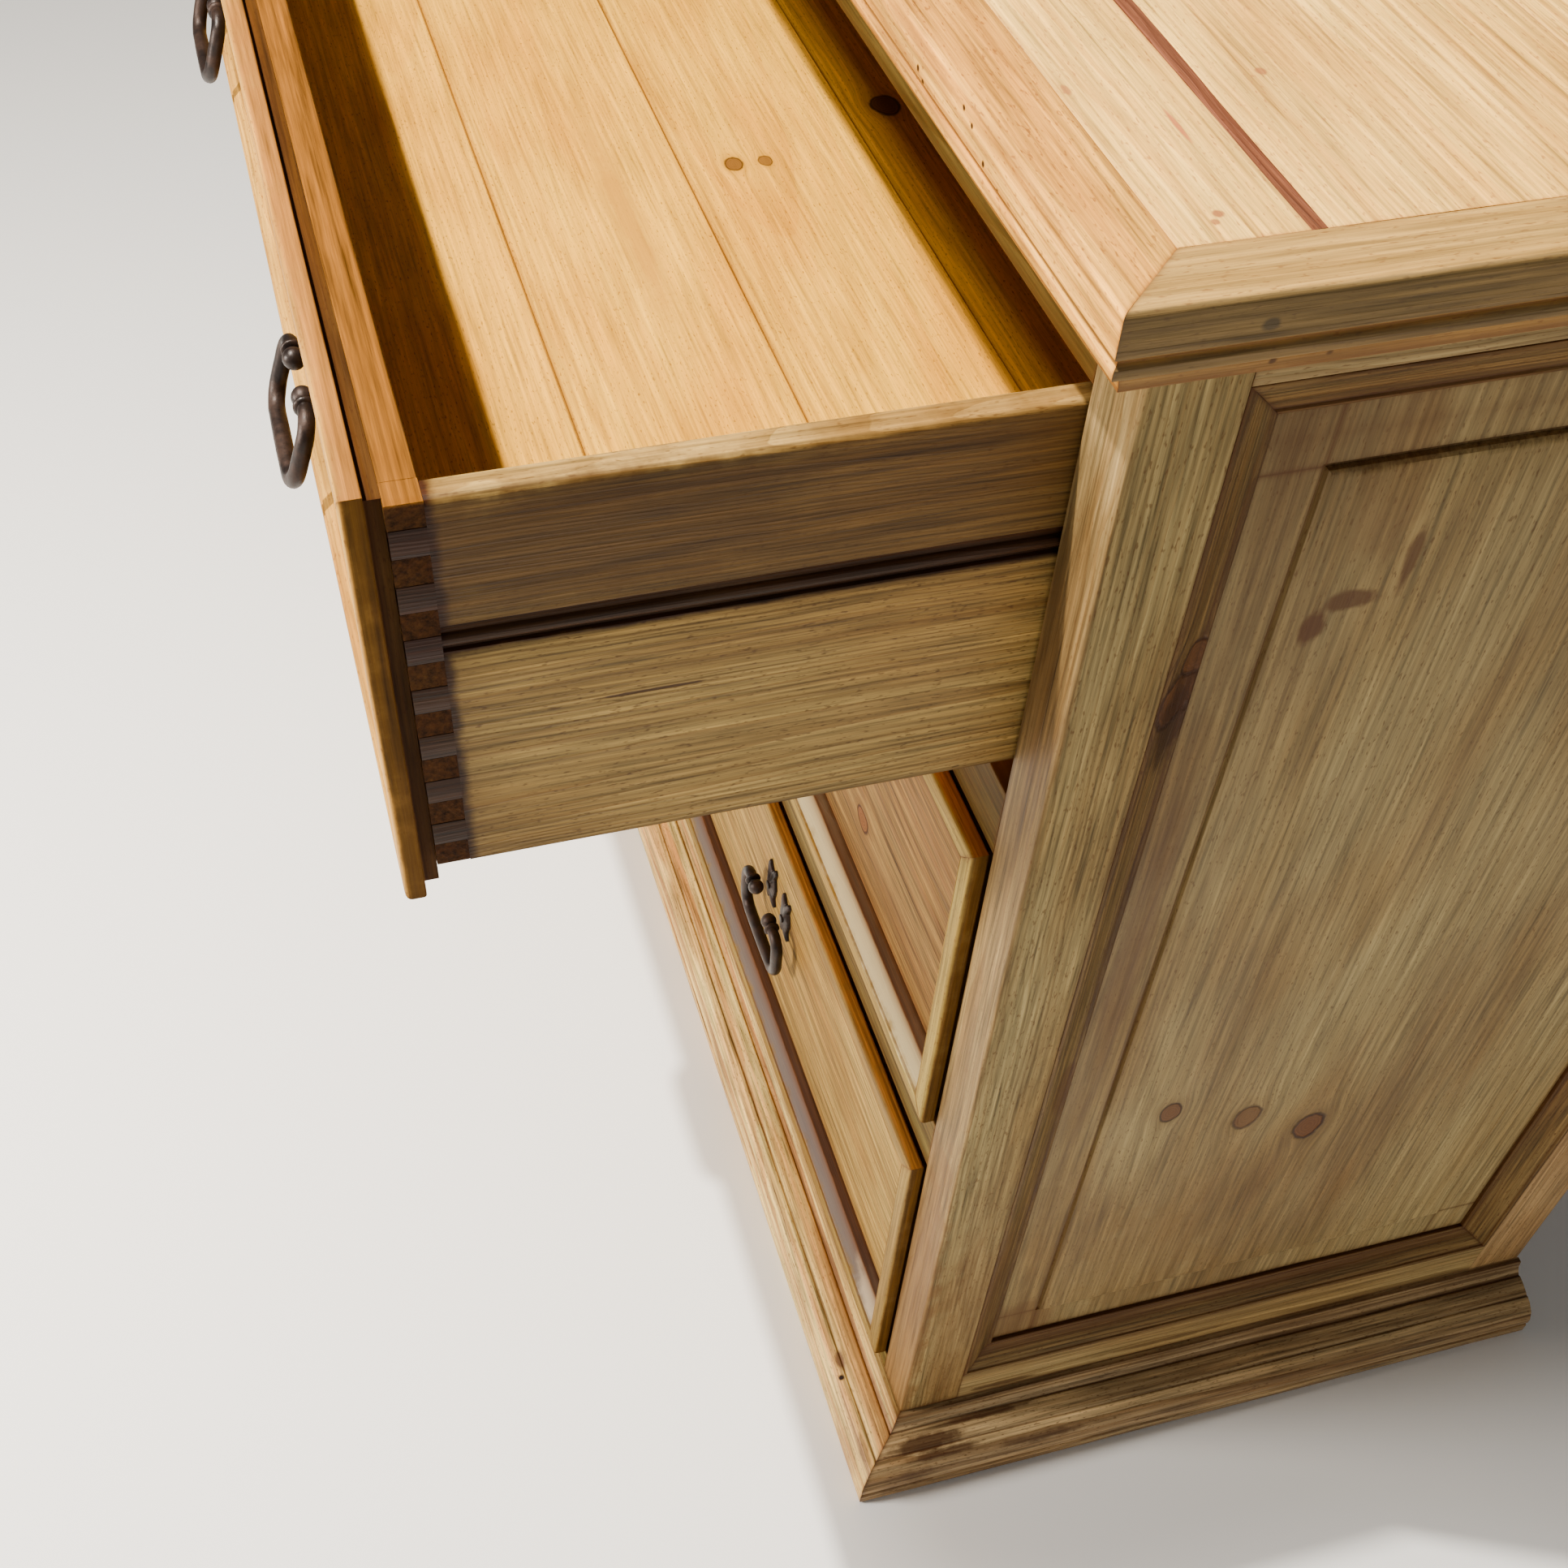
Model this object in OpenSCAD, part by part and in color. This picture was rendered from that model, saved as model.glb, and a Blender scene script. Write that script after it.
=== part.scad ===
/* [Case] */
// Width of the case across the corner posts
case_w = 1122; // [900:2:1400]
// Depth of the case from face frame to back
case_d = 500; // [490:5:560]
// Height of the top surface above the floor
case_h = 946; // [940:1:960]
// Width of a corner post seen from the front
post_w = 36; // [32:1:44]
// Depth of a corner post seen from the side
post_d = 43; // [38:1:48]
// Thickness of the front rails
rail_t = 22; // [18:1:24]

/* [Top] */
// Thickness of the top planks
plank_t = 22; // [18:1:26]
// How far the edge moulding stands out from the case
edge_out = 32.5; // [28:0.5:36]
// Height of the edge moulding
edge_h = 35; // [30:1:40]
// Width of the filled joint between the first two planks
filler_w = 5.5; // [3:0.5:8]

/* [Base] */
// How far the plinth stands out from the case
plinth_out = 39.5; // [32:0.5:44]
// Height of the plinth
plinth_h = 49; // [42:1:56]

/* [Side panels] */
// Depth of the panel margin below the frame face
panel_sunk = 13; // [9:1:15]
// Width of the sloped moulding around the panel
mould_w = 22; // [16:1:26]
// Width of the flat margin between moulding and raised field
margin_w = 31; // [24:1:38]

/* [Drawers] */
// How far the top drawer stands open
top_open = 270.5; // [0:0.5:320]
// Thickness of the drawer side boards
side_t = 14; // [12:1:16]
// Thickness of the drawer front and back boards
board_t = 14.3; // [12:0.1:16]
// How far a drawer face stands proud of the face frame
proud = 9.2; // [7:0.2:11]
// Width of the flat strip of the mitred frame on a drawer face
strip_w = 13.5; // [12:0.5:20]
// Length of a drawer box from front to back
box_l = 443.5; // [400:0.5:445]
// Height of one finger of the corner joint
finger_h = 12.7; // [10:0.1:16]

/* [Pulls] */
// Distance of the top drawer's pulls from the middle
pull_x_top = 218.5; // [160:0.5:300]
// Distance of the middle drawer's pulls from the middle
pull_x_middle = 213; // [160:0.5:300]
// Distance of the bottom drawer's pulls from the middle
pull_x_bottom = 208; // [160:0.5:300]
// Half the distance between the two eye posts of a pull
eye_half = 17.5; // [16:0.5:24]
// Distance of the eye from the drawer panel
eye_out = 14.5; // [12:0.5:17]
// Diameter of the bail rod
bail_d = 9.2; // [7:0.2:10]
// Drop of the bail below the eyes
bail_drop = 39.5; // [36:0.5:41]
// How far the top drawer's bails are swung out
top_tilt = 20; // [0:1:40]

/* [Hidden] */
$fn = 48;

half_w = case_w / 2;
half_d = case_d / 2;
plank_z = case_h - plank_t;
open_half = half_w - post_w;
origin_ahead = 20;

// Openings in the face frame, bottom and top, from the lowest to the highest
opening_bottom = [68, 325.5];
opening_middle = [369.5, 610];
opening_top = [652, 871];
frame_bottom_z = 20;

// Drawer faces: bottom edge, top edge, how far open, height and distance of the pull, swing of the bail
face_gap = 2.5;
face_half = open_half - face_gap;
drawer_bottom = [70, 320, 0, 210, pull_x_bottom, 0];
drawer_middle = [372, 607, 0, 482, pull_x_middle, 0];
drawer_top = [654, 867, top_open, 717, pull_x_top, top_tilt];

// Drawer box inside its face
box_below = 19;
box_above = 5;
step_d = 6.5;
step_inset = 5;
face_y = -half_d - proud;
panel_y = -half_d + step_d;
box_back_y = panel_y + box_l;
bottom_t = 9;
bottom_rise = 7;
groove_d = 6;
back_t = 12;
board_pitch = 120.5;
board_first = 121;
joint_gap = 0.2;

// Runners and kickers
run_gap = 0.4;
runner_w = 30;
runner_h = 40;
floor_t = 12;
floor_z = 28;
back_panel_t = 12;
back_rabbet = 18;
stop_h = 12;
stop_gap = 0.6;

// Side frames
side_rail_t = 30;
side_top_z = 887;
side_bottom_z = 84;
panel_t = 12;
panel_tongue = 8;
field_rise = 3;

// Iron pulls
pin_r = 2.4;
bore_r = 2.5;
ball_r = 6;
collar_r = 5.2;
collar_t = 3;
elbow_r = 11;
corner_r = 13;
plate_t = 2;
pin_end = 3;
rod_r = bail_d / 2;
collar_x = eye_half + ball_r + 0.5;
neck = 2.5;
leg_x = collar_x + collar_t + neck + elbow_r;

pine = "#c79a5b";
pine_light = "#e3bd7c";
pine_dark = "#9c7444";
iron = "#3c3230";

// Sets a node in the shared frame, whose origin lies under the middle of the front plinth
module placed() {
    translate([0, half_d + origin_ahead, 0]) children();
}

function arc(cx, cy, r, a0, a1, n = 5) =
    [for (i = [0:n]) [cx + r * cos(a0 + (a1 - a0) * i / n), cy + r * sin(a0 + (a1 - a0) * i / n)]];

// Outward reach and height of the moulding that edges the top
edge_profile = concat(
    [[0, 0], [edge_out - 8.5, 0], [edge_out - 7.5, 7.5], [edge_out - 2.5, 9]],
    arc(edge_out - 3, 12.5, 3, -60, 60, 4),
    [[edge_out - 2, 17], [edge_out, 18]],
    arc(edge_out - 3, edge_h - 3, 3, 0, 90, 4),
    [[0, edge_h]]
);

// Outward reach and height of the plinth
plinth_profile = concat(
    [[0, 0], [plinth_out - 2, 0], [plinth_out, 2], [plinth_out, 11]],
    [[plinth_out - 1.3, 12.2], [plinth_out - 0.6, 13.5]],
    arc(plinth_out - 17.6, 15, 17, 0, 75, 6),
    [[11, plinth_h - 13], [7.5, plinth_h - 11], [5, plinth_h - 7], [4, plinth_h], [0, plinth_h]]
);

// Depth below the frame face and distance inward of the side moulding
mould_profile = [
    [0, 0], [0, 2.5], [1.5, 4], [4, 8], [8.5, 15], [10.5, mould_w - 2.5],
    [11.5, mould_w], [panel_sunk, mould_w], [panel_sunk, 0]
];

// Depth below the face and distance inward of the mitred drawer frame
ledge_w = 14.5;
frame_depth = proud + step_d;
frame_profile = concat(
    arc(2.5, 2.5, 2.5, -90, -180, 4),
    [[0, strip_w - 1], [1.4, strip_w], [0.9, strip_w + 1.2], [frame_depth, strip_w + ledge_w]],
    [[frame_depth, step_inset], [proud, step_inset], [proud, 0]]
);
frame_w = strip_w + ledge_w;

// One mitred strip along X with its outer edge at z = 0
module mitred_strip(len, wide, profile) {
    gap = 0.1;
    intersection() {
        translate([-len / 2, 0, 0])
            rotate([90, 0, 90])
                linear_extrude(len) polygon(profile);
        rotate([90, 0, 0])
            linear_extrude(100, center = true)
                polygon([[-len / 2 + gap, 0], [len / 2 - gap, 0],
                    [len / 2 - wide - gap, wide], [-len / 2 + wide + gap, wide]]);
    }
}

// Four mitred strips around an upright rectangle, facing -Y
module mitred_ring(w, h, wide, profile) {
    for (a = [0, 180])
        rotate([0, a, 0]) translate([0, 0, -h / 2]) mitred_strip(w, wide, profile);
    for (a = [90, -90])
        rotate([0, a, 0]) translate([0, 0, -w / 2]) mitred_strip(h, wide, profile);
}

// A run of moulding along the front of the case, mitred at both ends
module front_run(profile, reach) {
    intersection() {
        translate([-half_w - reach, -half_d, 0])
            rotate([90, 0, 90])
                linear_extrude(case_w + 2 * reach)
                    polygon([for (p = profile) [-p[0], p[1]]]);
        linear_extrude(2 * case_h)
            polygon([[-half_w, -half_d], [half_w, -half_d],
                [half_w + reach, -half_d - reach], [-half_w - reach, -half_d - reach]]);
    }
}

// A run of moulding along the right side of the case, mitred at the front
module side_run(profile, reach) {
    intersection() {
        translate([half_w, half_d, 0])
            rotate([90, 0, 0])
                linear_extrude(case_d + reach) polygon(profile);
        linear_extrude(2 * case_h)
            polygon([[half_w, -half_d], [half_w, half_d],
                [half_w + reach, half_d], [half_w + reach, -half_d - reach]]);
    }
}

module plank(y0, y1) {
    translate([-half_w, y0, plank_z]) cube([case_w, y1 - y0, plank_t]);
}

first_joint = -half_d + 49;
plank_2_y = first_joint + filler_w;
plank_w = (half_d - plank_2_y) / 3;

module top_plank_1() {
    color(pine_light) plank(-half_d, first_joint);
}

module top_plank_2() {
    color(pine_light) plank(plank_2_y, plank_2_y + plank_w);
}

module top_plank_3() {
    color(pine_light) plank(plank_2_y + plank_w, plank_2_y + 2 * plank_w);
}

module top_plank_4() {
    color(pine_light) plank(plank_2_y + 2 * plank_w, half_d);
}

module top_joint_filler() {
    filler_sunk = 0.4;
    color("#7a4a38")
        translate([-half_w, first_joint, plank_z])
            cube([case_w, filler_w, plank_t - filler_sunk]);
}

module top_edge_front() {
    color(pine) translate([0, 0, case_h - edge_h]) front_run(edge_profile, edge_out);
}

module top_edge_right() {
    color(pine) translate([0, 0, case_h - edge_h]) side_run(edge_profile, edge_out);
}

module top_edge_left() {
    mirror([1, 0, 0]) top_edge_right();
}

module plinth_front() {
    color(pine) front_run(plinth_profile, plinth_out);
}

module plinth_right() {
    color(pine) side_run(plinth_profile, plinth_out);
}

module plinth_left() {
    mirror([1, 0, 0]) plinth_right();
}

// The groove that holds the tongue of a side panel, cut along a post
module panel_groove_in_post(y0) {
    translate([half_w - panel_sunk - panel_t, y0, side_bottom_z - panel_tongue])
        cube([panel_t, panel_tongue, side_top_z - side_bottom_z + 2 * panel_tongue]);
}

module corner_post_front_right() {
    color(pine)
        difference() {
            translate([open_half, -half_d, 0]) cube([post_w, post_d, plank_z]);
            panel_groove_in_post(-half_d + post_d - panel_tongue);
        }
}

module corner_post_front_left() {
    mirror([1, 0, 0]) corner_post_front_right();
}

module corner_post_rear_right() {
    color(pine)
        difference() {
            translate([open_half, half_d - post_d, 0]) cube([post_w, post_d, plank_z]);
            panel_groove_in_post(half_d - post_d);
            translate([open_half - 1, half_d - back_panel_t, -1])
                cube([back_rabbet + 1, back_panel_t + 1, plank_z + 2]);
        }
}

module corner_post_rear_left() {
    mirror([1, 0, 0]) corner_post_rear_right();
}

module front_rail(z0, z1) {
    color(pine)
        translate([-open_half, -half_d, z0]) cube([2 * open_half, rail_t, z1 - z0]);
}

module front_rail_top() {
    front_rail(opening_top[1], plank_z);
}

module front_rail_upper() {
    front_rail(opening_middle[1], opening_top[0]);
}

module front_rail_lower() {
    front_rail(opening_bottom[1], opening_middle[0]);
}

module front_rail_bottom() {
    front_rail(frame_bottom_z, opening_bottom[0]);
}

// A side rail with the panel groove along one edge
module side_rail(z0, z1, groove_z) {
    y0 = -half_d + post_d;
    color(pine)
        difference() {
            translate([half_w - side_rail_t, y0, z0])
                cube([side_rail_t, case_d - 2 * post_d, z1 - z0]);
            translate([half_w - panel_sunk - panel_t, y0 - 1, groove_z])
                cube([panel_t, case_d - 2 * post_d + 2, panel_tongue]);
        }
}

module side_rail_top_right() {
    side_rail(side_top_z, plank_z, side_top_z);
}

module side_rail_top_left() {
    mirror([1, 0, 0]) side_rail_top_right();
}

module side_rail_bottom_right() {
    side_rail(frame_bottom_z, side_bottom_z, side_bottom_z - panel_tongue);
}

module side_rail_bottom_left() {
    mirror([1, 0, 0]) side_rail_bottom_right();
}

side_open_d = case_d - 2 * post_d;
side_open_h = side_top_z - side_bottom_z;
side_mid_z = (side_top_z + side_bottom_z) / 2;
field_inset = mould_w + margin_w;

module side_panel_right() {
    fit = 0.1;
    panel_x = half_w - panel_sunk;
    field_d = side_open_d - 2 * field_inset;
    field_h = side_open_h - 2 * field_inset;
    tongue_d = side_open_d + 2 * panel_tongue - 2 * fit;
    tongue_h = side_open_h + 2 * panel_tongue - 2 * fit;
    color(pine) {
        translate([panel_x - panel_t, -tongue_d / 2, side_mid_z - tongue_h / 2])
            cube([panel_t, tongue_d, tongue_h]);
        translate([panel_x - 1, -field_d / 2, side_mid_z - field_h / 2])
            cube([field_rise + 1, field_d, field_h]);
    }
}

module side_panel_left() {
    mirror([1, 0, 0]) side_panel_right();
}

module side_moulding_right() {
    color(pine_dark)
        translate([half_w, 0, side_mid_z])
            rotate([0, 0, 90])
                mitred_ring(side_open_d, side_open_h, mould_w, mould_profile);
}

module side_moulding_left() {
    mirror([1, 0, 0]) side_moulding_right();
}

module back_panel() {
    w = open_half + back_rabbet;
    color(pine_dark)
        translate([-w, half_d - back_panel_t, frame_bottom_z])
            cube([2 * w, back_panel_t, plank_z - frame_bottom_z]);
}

module floor_panel() {
    y0 = -half_d + rail_t;
    color(pine_dark)
        translate([-open_half, y0, floor_z])
            cube([2 * open_half, half_d - back_panel_t - y0, floor_t]);
}

// A pair of runners under a drawer, each with a stop block at the back
module runners(drawer, height = runner_h) {
    y0 = -half_d + rail_t;
    top_z = drawer[0] + box_below - run_gap;
    stop_y = box_back_y + stop_gap;
    color(pine_dark)
        for (s = [0, 1])
            mirror([s, 0, 0])
                translate([open_half - runner_w, 0, 0]) {
                    translate([0, y0, top_z - height])
                        cube([runner_w, half_d - back_panel_t - y0, height]);
                    translate([0, stop_y, top_z - 1])
                        cube([runner_w, half_d - back_panel_t - stop_y, stop_h + 1]);
                }
}

module runners_top() {
    runners(drawer_top);
}

module runners_middle() {
    runners(drawer_middle);
}

module runners_bottom() {
    runners(drawer_bottom, drawer_bottom[0] + box_below - run_gap - floor_z - floor_t);
}

module kickers_top() {
    kicker_h = 30;
    y0 = -half_d + rail_t;
    z0 = drawer_top[1] - box_above + 2 * run_gap;
    color(pine_dark)
        for (s = [0, 1])
            mirror([s, 0, 0])
                translate([open_half - runner_w, y0, z0])
                    cube([runner_w, half_d - back_panel_t - y0, kicker_h]);
}

// Moves a drawer part by how far its drawer stands open
module opened(drawer) {
    translate([0, -drawer[2], 0]) children();
}

function box_z0(drawer) = drawer[0] + box_below;
function box_z1(drawer) = drawer[1] - box_above;
function finger_count(drawer) = floor((box_z1(drawer) - box_z0(drawer)) / finger_h);

// Every second finger of the corner joint, as solids to keep or to cut
module fingers(drawer, first, x0, x1, grow = 0) {
    for (i = [first:2:finger_count(drawer)]) {
        z0 = box_z0(drawer) + i * finger_h;
        z1 = min(z0 + finger_h, box_z1(drawer));
        if (z1 - z0 > 1)
            translate([x0, panel_y - grow, z0])
                cube([x1 - x0, board_t + grow, z1 - z0]);
    }
}

module drawer_front(drawer) {
    inner = face_half - side_t;
    groove_w = inner + groove_d;
    z0 = box_z0(drawer);
    color(pine)
        opened(drawer)
            difference() {
                union() {
                    translate([-inner, panel_y, z0])
                        cube([2 * inner, board_t, box_z1(drawer) - z0]);
                    for (s = [0, 1])
                        mirror([s, 0, 0])
                            fingers(drawer, 0, inner - 0.5, face_half);
                }
                translate([-groove_w, panel_y + board_t - groove_d, z0 + bottom_rise])
                    cube([2 * groove_w, groove_d + 1, bottom_t]);
            }
}

module drawer_frame(drawer) {
    h = drawer[1] - drawer[0];
    color(pine_light)
        opened(drawer)
            translate([0, face_y, (drawer[0] + drawer[1]) / 2])
                mitred_ring(2 * face_half, h, frame_w, frame_profile);
}

// Section of a drawer side: two boards with a bead at the joint and a rounded top edge
module side_section(drawer) {
    z0 = box_z0(drawer);
    z1 = box_z1(drawer);
    joint_z = z0 + 0.625 * (z1 - z0);
    bead_h = 12;
    outer = face_half;
    inner = face_half - side_t;
    polygon(concat(
        [[inner, z0], [outer, z0], [outer, joint_z - 2], [outer - 2, joint_z]],
        [[outer - 0.6, joint_z + 2], [outer, joint_z + 5], [outer, joint_z + bead_h - 3]],
        [[outer - 1.6, joint_z + bead_h], [outer, joint_z + bead_h + 1.5]],
        arc(outer - 3, z1 - 3, 3, 0, 90, 4),
        arc(inner + 3, z1 - 3, 3, 90, 180, 4),
        [[inner, z0 + bottom_rise + bottom_t], [inner + groove_d, z0 + bottom_rise + bottom_t]],
        [[inner + groove_d, z0 + bottom_rise], [inner, z0 + bottom_rise]]
    ));
}

module drawer_side(drawer) {
    color(pine)
        opened(drawer)
            difference() {
                translate([0, box_back_y, 0])
                    rotate([90, 0, 0]) linear_extrude(box_l) side_section(drawer);
                fingers(drawer, 0, face_half - side_t - 1, face_half + 1, 1);
            }
}

module drawer_back(drawer) {
    w = face_half - side_t;
    z0 = box_z0(drawer) + bottom_rise + bottom_t;
    color(pine)
        opened(drawer)
            translate([-w, box_back_y - back_t, z0])
                cube([2 * w, back_t, box_z1(drawer) - box_above - z0]);
}

// Bottom boards laid side by side, each with a small chamfer along its top edges
module drawer_bottom_boards(drawer) {
    chamfer = 1.3;
    w = face_half - side_t + groove_d - joint_gap;
    y0 = panel_y + board_t - groove_d + joint_gap;
    y1 = box_back_y;
    cuts = [y0, panel_y + board_first, panel_y + board_first + board_pitch,
        panel_y + board_first + 2 * board_pitch, y1];
    color(pine_light)
        opened(drawer)
            for (i = [0:3]) {
                a = cuts[i] + joint_gap / 2;
                b = cuts[i + 1] - joint_gap / 2;
                translate([-w, 0, box_z0(drawer) + bottom_rise])
                    rotate([90, 0, 90])
                        linear_extrude(2 * w)
                            polygon([[a, 0], [b, 0], [b, bottom_t - chamfer],
                                [b - chamfer, bottom_t], [a + chamfer, bottom_t],
                                [a, bottom_t - chamfer]]);
            }
}

// Outline of the wrought plate under one eye post
module leaf_outline() {
    circle(r = 9);
    translate([0, 13]) circle(r = 6);
    for (s = [-1, 1]) {
        translate([s * 11, 3]) circle(r = 7);
        translate([s * 5, 17]) circle(r = 3.5);
        translate([s * 5, -15]) circle(r = 3.5);
    }
    translate([0, -11]) circle(r = 6.5);
}

// Plate, shank and bored ball of one eye, standing out along -Y from the drawer panel
module eye_post() {
    shank_r = 3.4;
    shank_y = 1.5;
    flat = 5.4;
    rotate([90, 0, 0]) linear_extrude(plate_t) leaf_outline();
    translate([0, -shank_y, 0])
        rotate([90, 0, 0]) cylinder(r = shank_r, h = eye_out - shank_y - ball_r + 1.5);
    translate([0, -eye_out, 0])
        rotate([0, 90, 0])
            rotate_extrude()
                polygon(concat([[bore_r, -flat]], arc(0, 0, ball_r, -58, 58, 8), [[bore_r, flat]]));
}

module eye_posts(drawer) {
    color(iron)
        opened(drawer)
            for (x = [-drawer[4], drawer[4]], e = [-eye_half, eye_half])
                translate([x + e, panel_y, drawer[3]]) eye_post();
}

// Right half of a bail around the eye line, hanging down
module bail_half() {
    bar_z = -bail_drop;
    neck_x = collar_x + collar_t;
    leg_top = -elbow_r;
    leg_bottom = bar_z + corner_r;
    translate([eye_half - pin_end, 0, 0])
        rotate([0, 90, 0]) cylinder(r = pin_r, h = collar_x - eye_half + pin_end + 1);
    translate([collar_x, 0, 0])
        rotate([0, 90, 0]) cylinder(r = collar_r, h = collar_t);
    translate([neck_x, 0, 0])
        rotate([0, 90, 0]) cylinder(r = rod_r, h = neck);
    translate([neck_x + neck, 0, leg_top])
        rotate([90, 0, 0])
            rotate_extrude(angle = 90) translate([elbow_r, 0]) circle(r = rod_r);
    translate([leg_x, 0, leg_bottom]) cylinder(r = rod_r, h = leg_top - leg_bottom);
    translate([leg_x - corner_r, 0, leg_bottom])
        rotate([90, 0, 0])
            rotate([0, 0, -90])
                rotate_extrude(angle = 90) translate([corner_r, 0]) circle(r = rod_r);
    translate([0, 0, bar_z])
        rotate([0, 90, 0]) cylinder(r = rod_r, h = leg_x - corner_r);
}

module bail(drawer, side) {
    color(iron)
        opened(drawer)
            translate([side * drawer[4], panel_y - eye_out, drawer[3]])
                rotate([-drawer[5], 0, 0]) {
                    bail_half();
                    mirror([1, 0, 0]) bail_half();
                }
}

placed() top_plank_1();
placed() top_plank_2();
placed() top_plank_3();
placed() top_plank_4();
placed() top_joint_filler();
placed() top_edge_front();
placed() top_edge_left();
placed() top_edge_right();
placed() corner_post_front_left();
placed() corner_post_front_right();
placed() corner_post_rear_left();
placed() corner_post_rear_right();
placed() front_rail_top();
placed() front_rail_upper();
placed() front_rail_lower();
placed() front_rail_bottom();
placed() side_rail_top_left();
placed() side_rail_top_right();
placed() side_rail_bottom_left();
placed() side_rail_bottom_right();
placed() side_panel_left();
placed() side_panel_right();
placed() side_moulding_left();
placed() side_moulding_right();
placed() back_panel();
placed() floor_panel();
placed() plinth_front();
placed() plinth_left();
placed() plinth_right();
placed() runners_top();
placed() runners_middle();
placed() runners_bottom();
placed() kickers_top();
placed() drawer_front(drawer_top);  // top_drawer_front
placed() drawer_frame(drawer_top);  // top_drawer_frame
placed() mirror([1, 0, 0]) drawer_side(drawer_top);  // top_drawer_side_left
placed() drawer_side(drawer_top);  // top_drawer_side_right
placed() drawer_back(drawer_top);  // top_drawer_back
placed() drawer_bottom_boards(drawer_top);  // top_drawer_bottom
placed() eye_posts(drawer_top);  // top_drawer_eye_posts
placed() bail(drawer_top, -1);  // top_bail_left
placed() bail(drawer_top, 1);  // top_bail_right
placed() drawer_front(drawer_middle);  // middle_drawer_front
placed() drawer_frame(drawer_middle);  // middle_drawer_frame
placed() mirror([1, 0, 0]) drawer_side(drawer_middle);  // middle_drawer_side_left
placed() drawer_side(drawer_middle);  // middle_drawer_side_right
placed() drawer_back(drawer_middle);  // middle_drawer_back
placed() drawer_bottom_boards(drawer_middle);  // middle_drawer_bottom
placed() eye_posts(drawer_middle);  // middle_drawer_eye_posts
placed() bail(drawer_middle, -1);  // middle_bail_left
placed() bail(drawer_middle, 1);  // middle_bail_right
placed() drawer_front(drawer_bottom);  // bottom_drawer_front
placed() drawer_frame(drawer_bottom);  // bottom_drawer_frame
placed() mirror([1, 0, 0]) drawer_side(drawer_bottom);  // bottom_drawer_side_left
placed() drawer_side(drawer_bottom);  // bottom_drawer_side_right
placed() drawer_back(drawer_bottom);  // bottom_drawer_back
placed() drawer_bottom_boards(drawer_bottom);  // bottom_drawer_bottom
placed() eye_posts(drawer_bottom);  // bottom_drawer_eye_posts
placed() bail(drawer_bottom, -1);  // bottom_bail_left
placed() bail(drawer_bottom, 1);  // bottom_bail_right
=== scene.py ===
"""Looks of a rustic pine chest of drawers with iron bail pulls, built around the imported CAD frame."""
import math

import bpy
import bmesh
from mathutils import Matrix, Vector, noise


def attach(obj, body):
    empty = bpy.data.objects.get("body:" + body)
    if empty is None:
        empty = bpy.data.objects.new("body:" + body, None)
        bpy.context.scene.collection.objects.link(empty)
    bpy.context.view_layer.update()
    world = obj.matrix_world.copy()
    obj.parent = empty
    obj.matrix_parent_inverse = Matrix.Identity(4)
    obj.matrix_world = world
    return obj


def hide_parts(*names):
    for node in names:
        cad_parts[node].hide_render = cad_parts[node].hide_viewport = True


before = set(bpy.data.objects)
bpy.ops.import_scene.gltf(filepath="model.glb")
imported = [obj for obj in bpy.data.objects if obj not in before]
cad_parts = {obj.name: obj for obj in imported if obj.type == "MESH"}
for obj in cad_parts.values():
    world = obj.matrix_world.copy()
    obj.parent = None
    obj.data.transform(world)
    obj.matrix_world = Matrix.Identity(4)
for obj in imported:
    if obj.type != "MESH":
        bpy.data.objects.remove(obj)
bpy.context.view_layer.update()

MM = 0.001
# The timbers are laid out round the middle of the case, which is this far behind the frame's origin
FRAME_Y = 0.27

# ---------------------------------------------------------------- camera and lights

# The camera is fitted to edges of the chest in the photo. Sensor and lens are in mm, shifts in sensor widths.
SENSOR_W = 36.0
LENS = 41.5597
SHIFT_X, SHIFT_Y = 0.042086, 0.121465
RIGHT = Vector((0.262626, 0.964667, 0.021074))
DOWN = Vector((0.765409, -0.194982, -0.613295))
FORWARD = Vector((-0.587517, 0.177198, -0.789573))

cam_data = bpy.data.cameras.new("camera")
cam_data.sensor_width = SENSOR_W
cam_data.lens = LENS
cam_data.shift_x = SHIFT_X
cam_data.shift_y = SHIFT_Y
cam_data.clip_start = 0.02
cam_data.clip_end = 50.0
camera = bpy.data.objects.new("camera", cam_data)
pose = Matrix((RIGHT, -DOWN, -FORWARD)).transposed().to_4x4()
pose.translation = Vector((1.0491, -0.2749, 1.2632))
camera.matrix_world = pose
bpy.context.collection.objects.link(camera)
bpy.context.scene.camera = camera


def link(obj):
    bpy.context.collection.objects.link(obj)
    return obj


def area_light(name, place, target, size, power, colour):
    data = bpy.data.lights.new(name, "AREA")
    data.shape = "DISK"
    data.size = size
    data.energy = power
    data.color = colour
    lamp = link(bpy.data.objects.new(name, data))
    lamp.location = place
    lamp.rotation_mode = "QUATERNION"
    lamp.rotation_quaternion = (Vector(target) - Vector(place)).to_track_quat("-Z", "Y")


# The hard key draws the drawer's shadow and the soft one beside it blurs the shadow's edge
KEY_TARGET = (0.217, -0.03, 0.6)
area_light("key", (0.117, -0.89, 2.6), KEY_TARGET, 0.05, 120.0, (1.0, 0.93, 0.82))
area_light("key_soft", (0.06, -0.97, 2.6), KEY_TARGET, 0.34, 40.0, (1.0, 0.93, 0.83))
area_light("fill_front", (0.1, -2.2, 1.12), (0.2, 0.07, 0.15), 0.6, 92.0, (1.0, 0.93, 0.84))
area_light("fill_side", (2.9, 0.1, 0.5), (0.5, 0.25, 0.25), 1.4, 11.0, (1.0, 0.97, 0.92))

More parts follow.
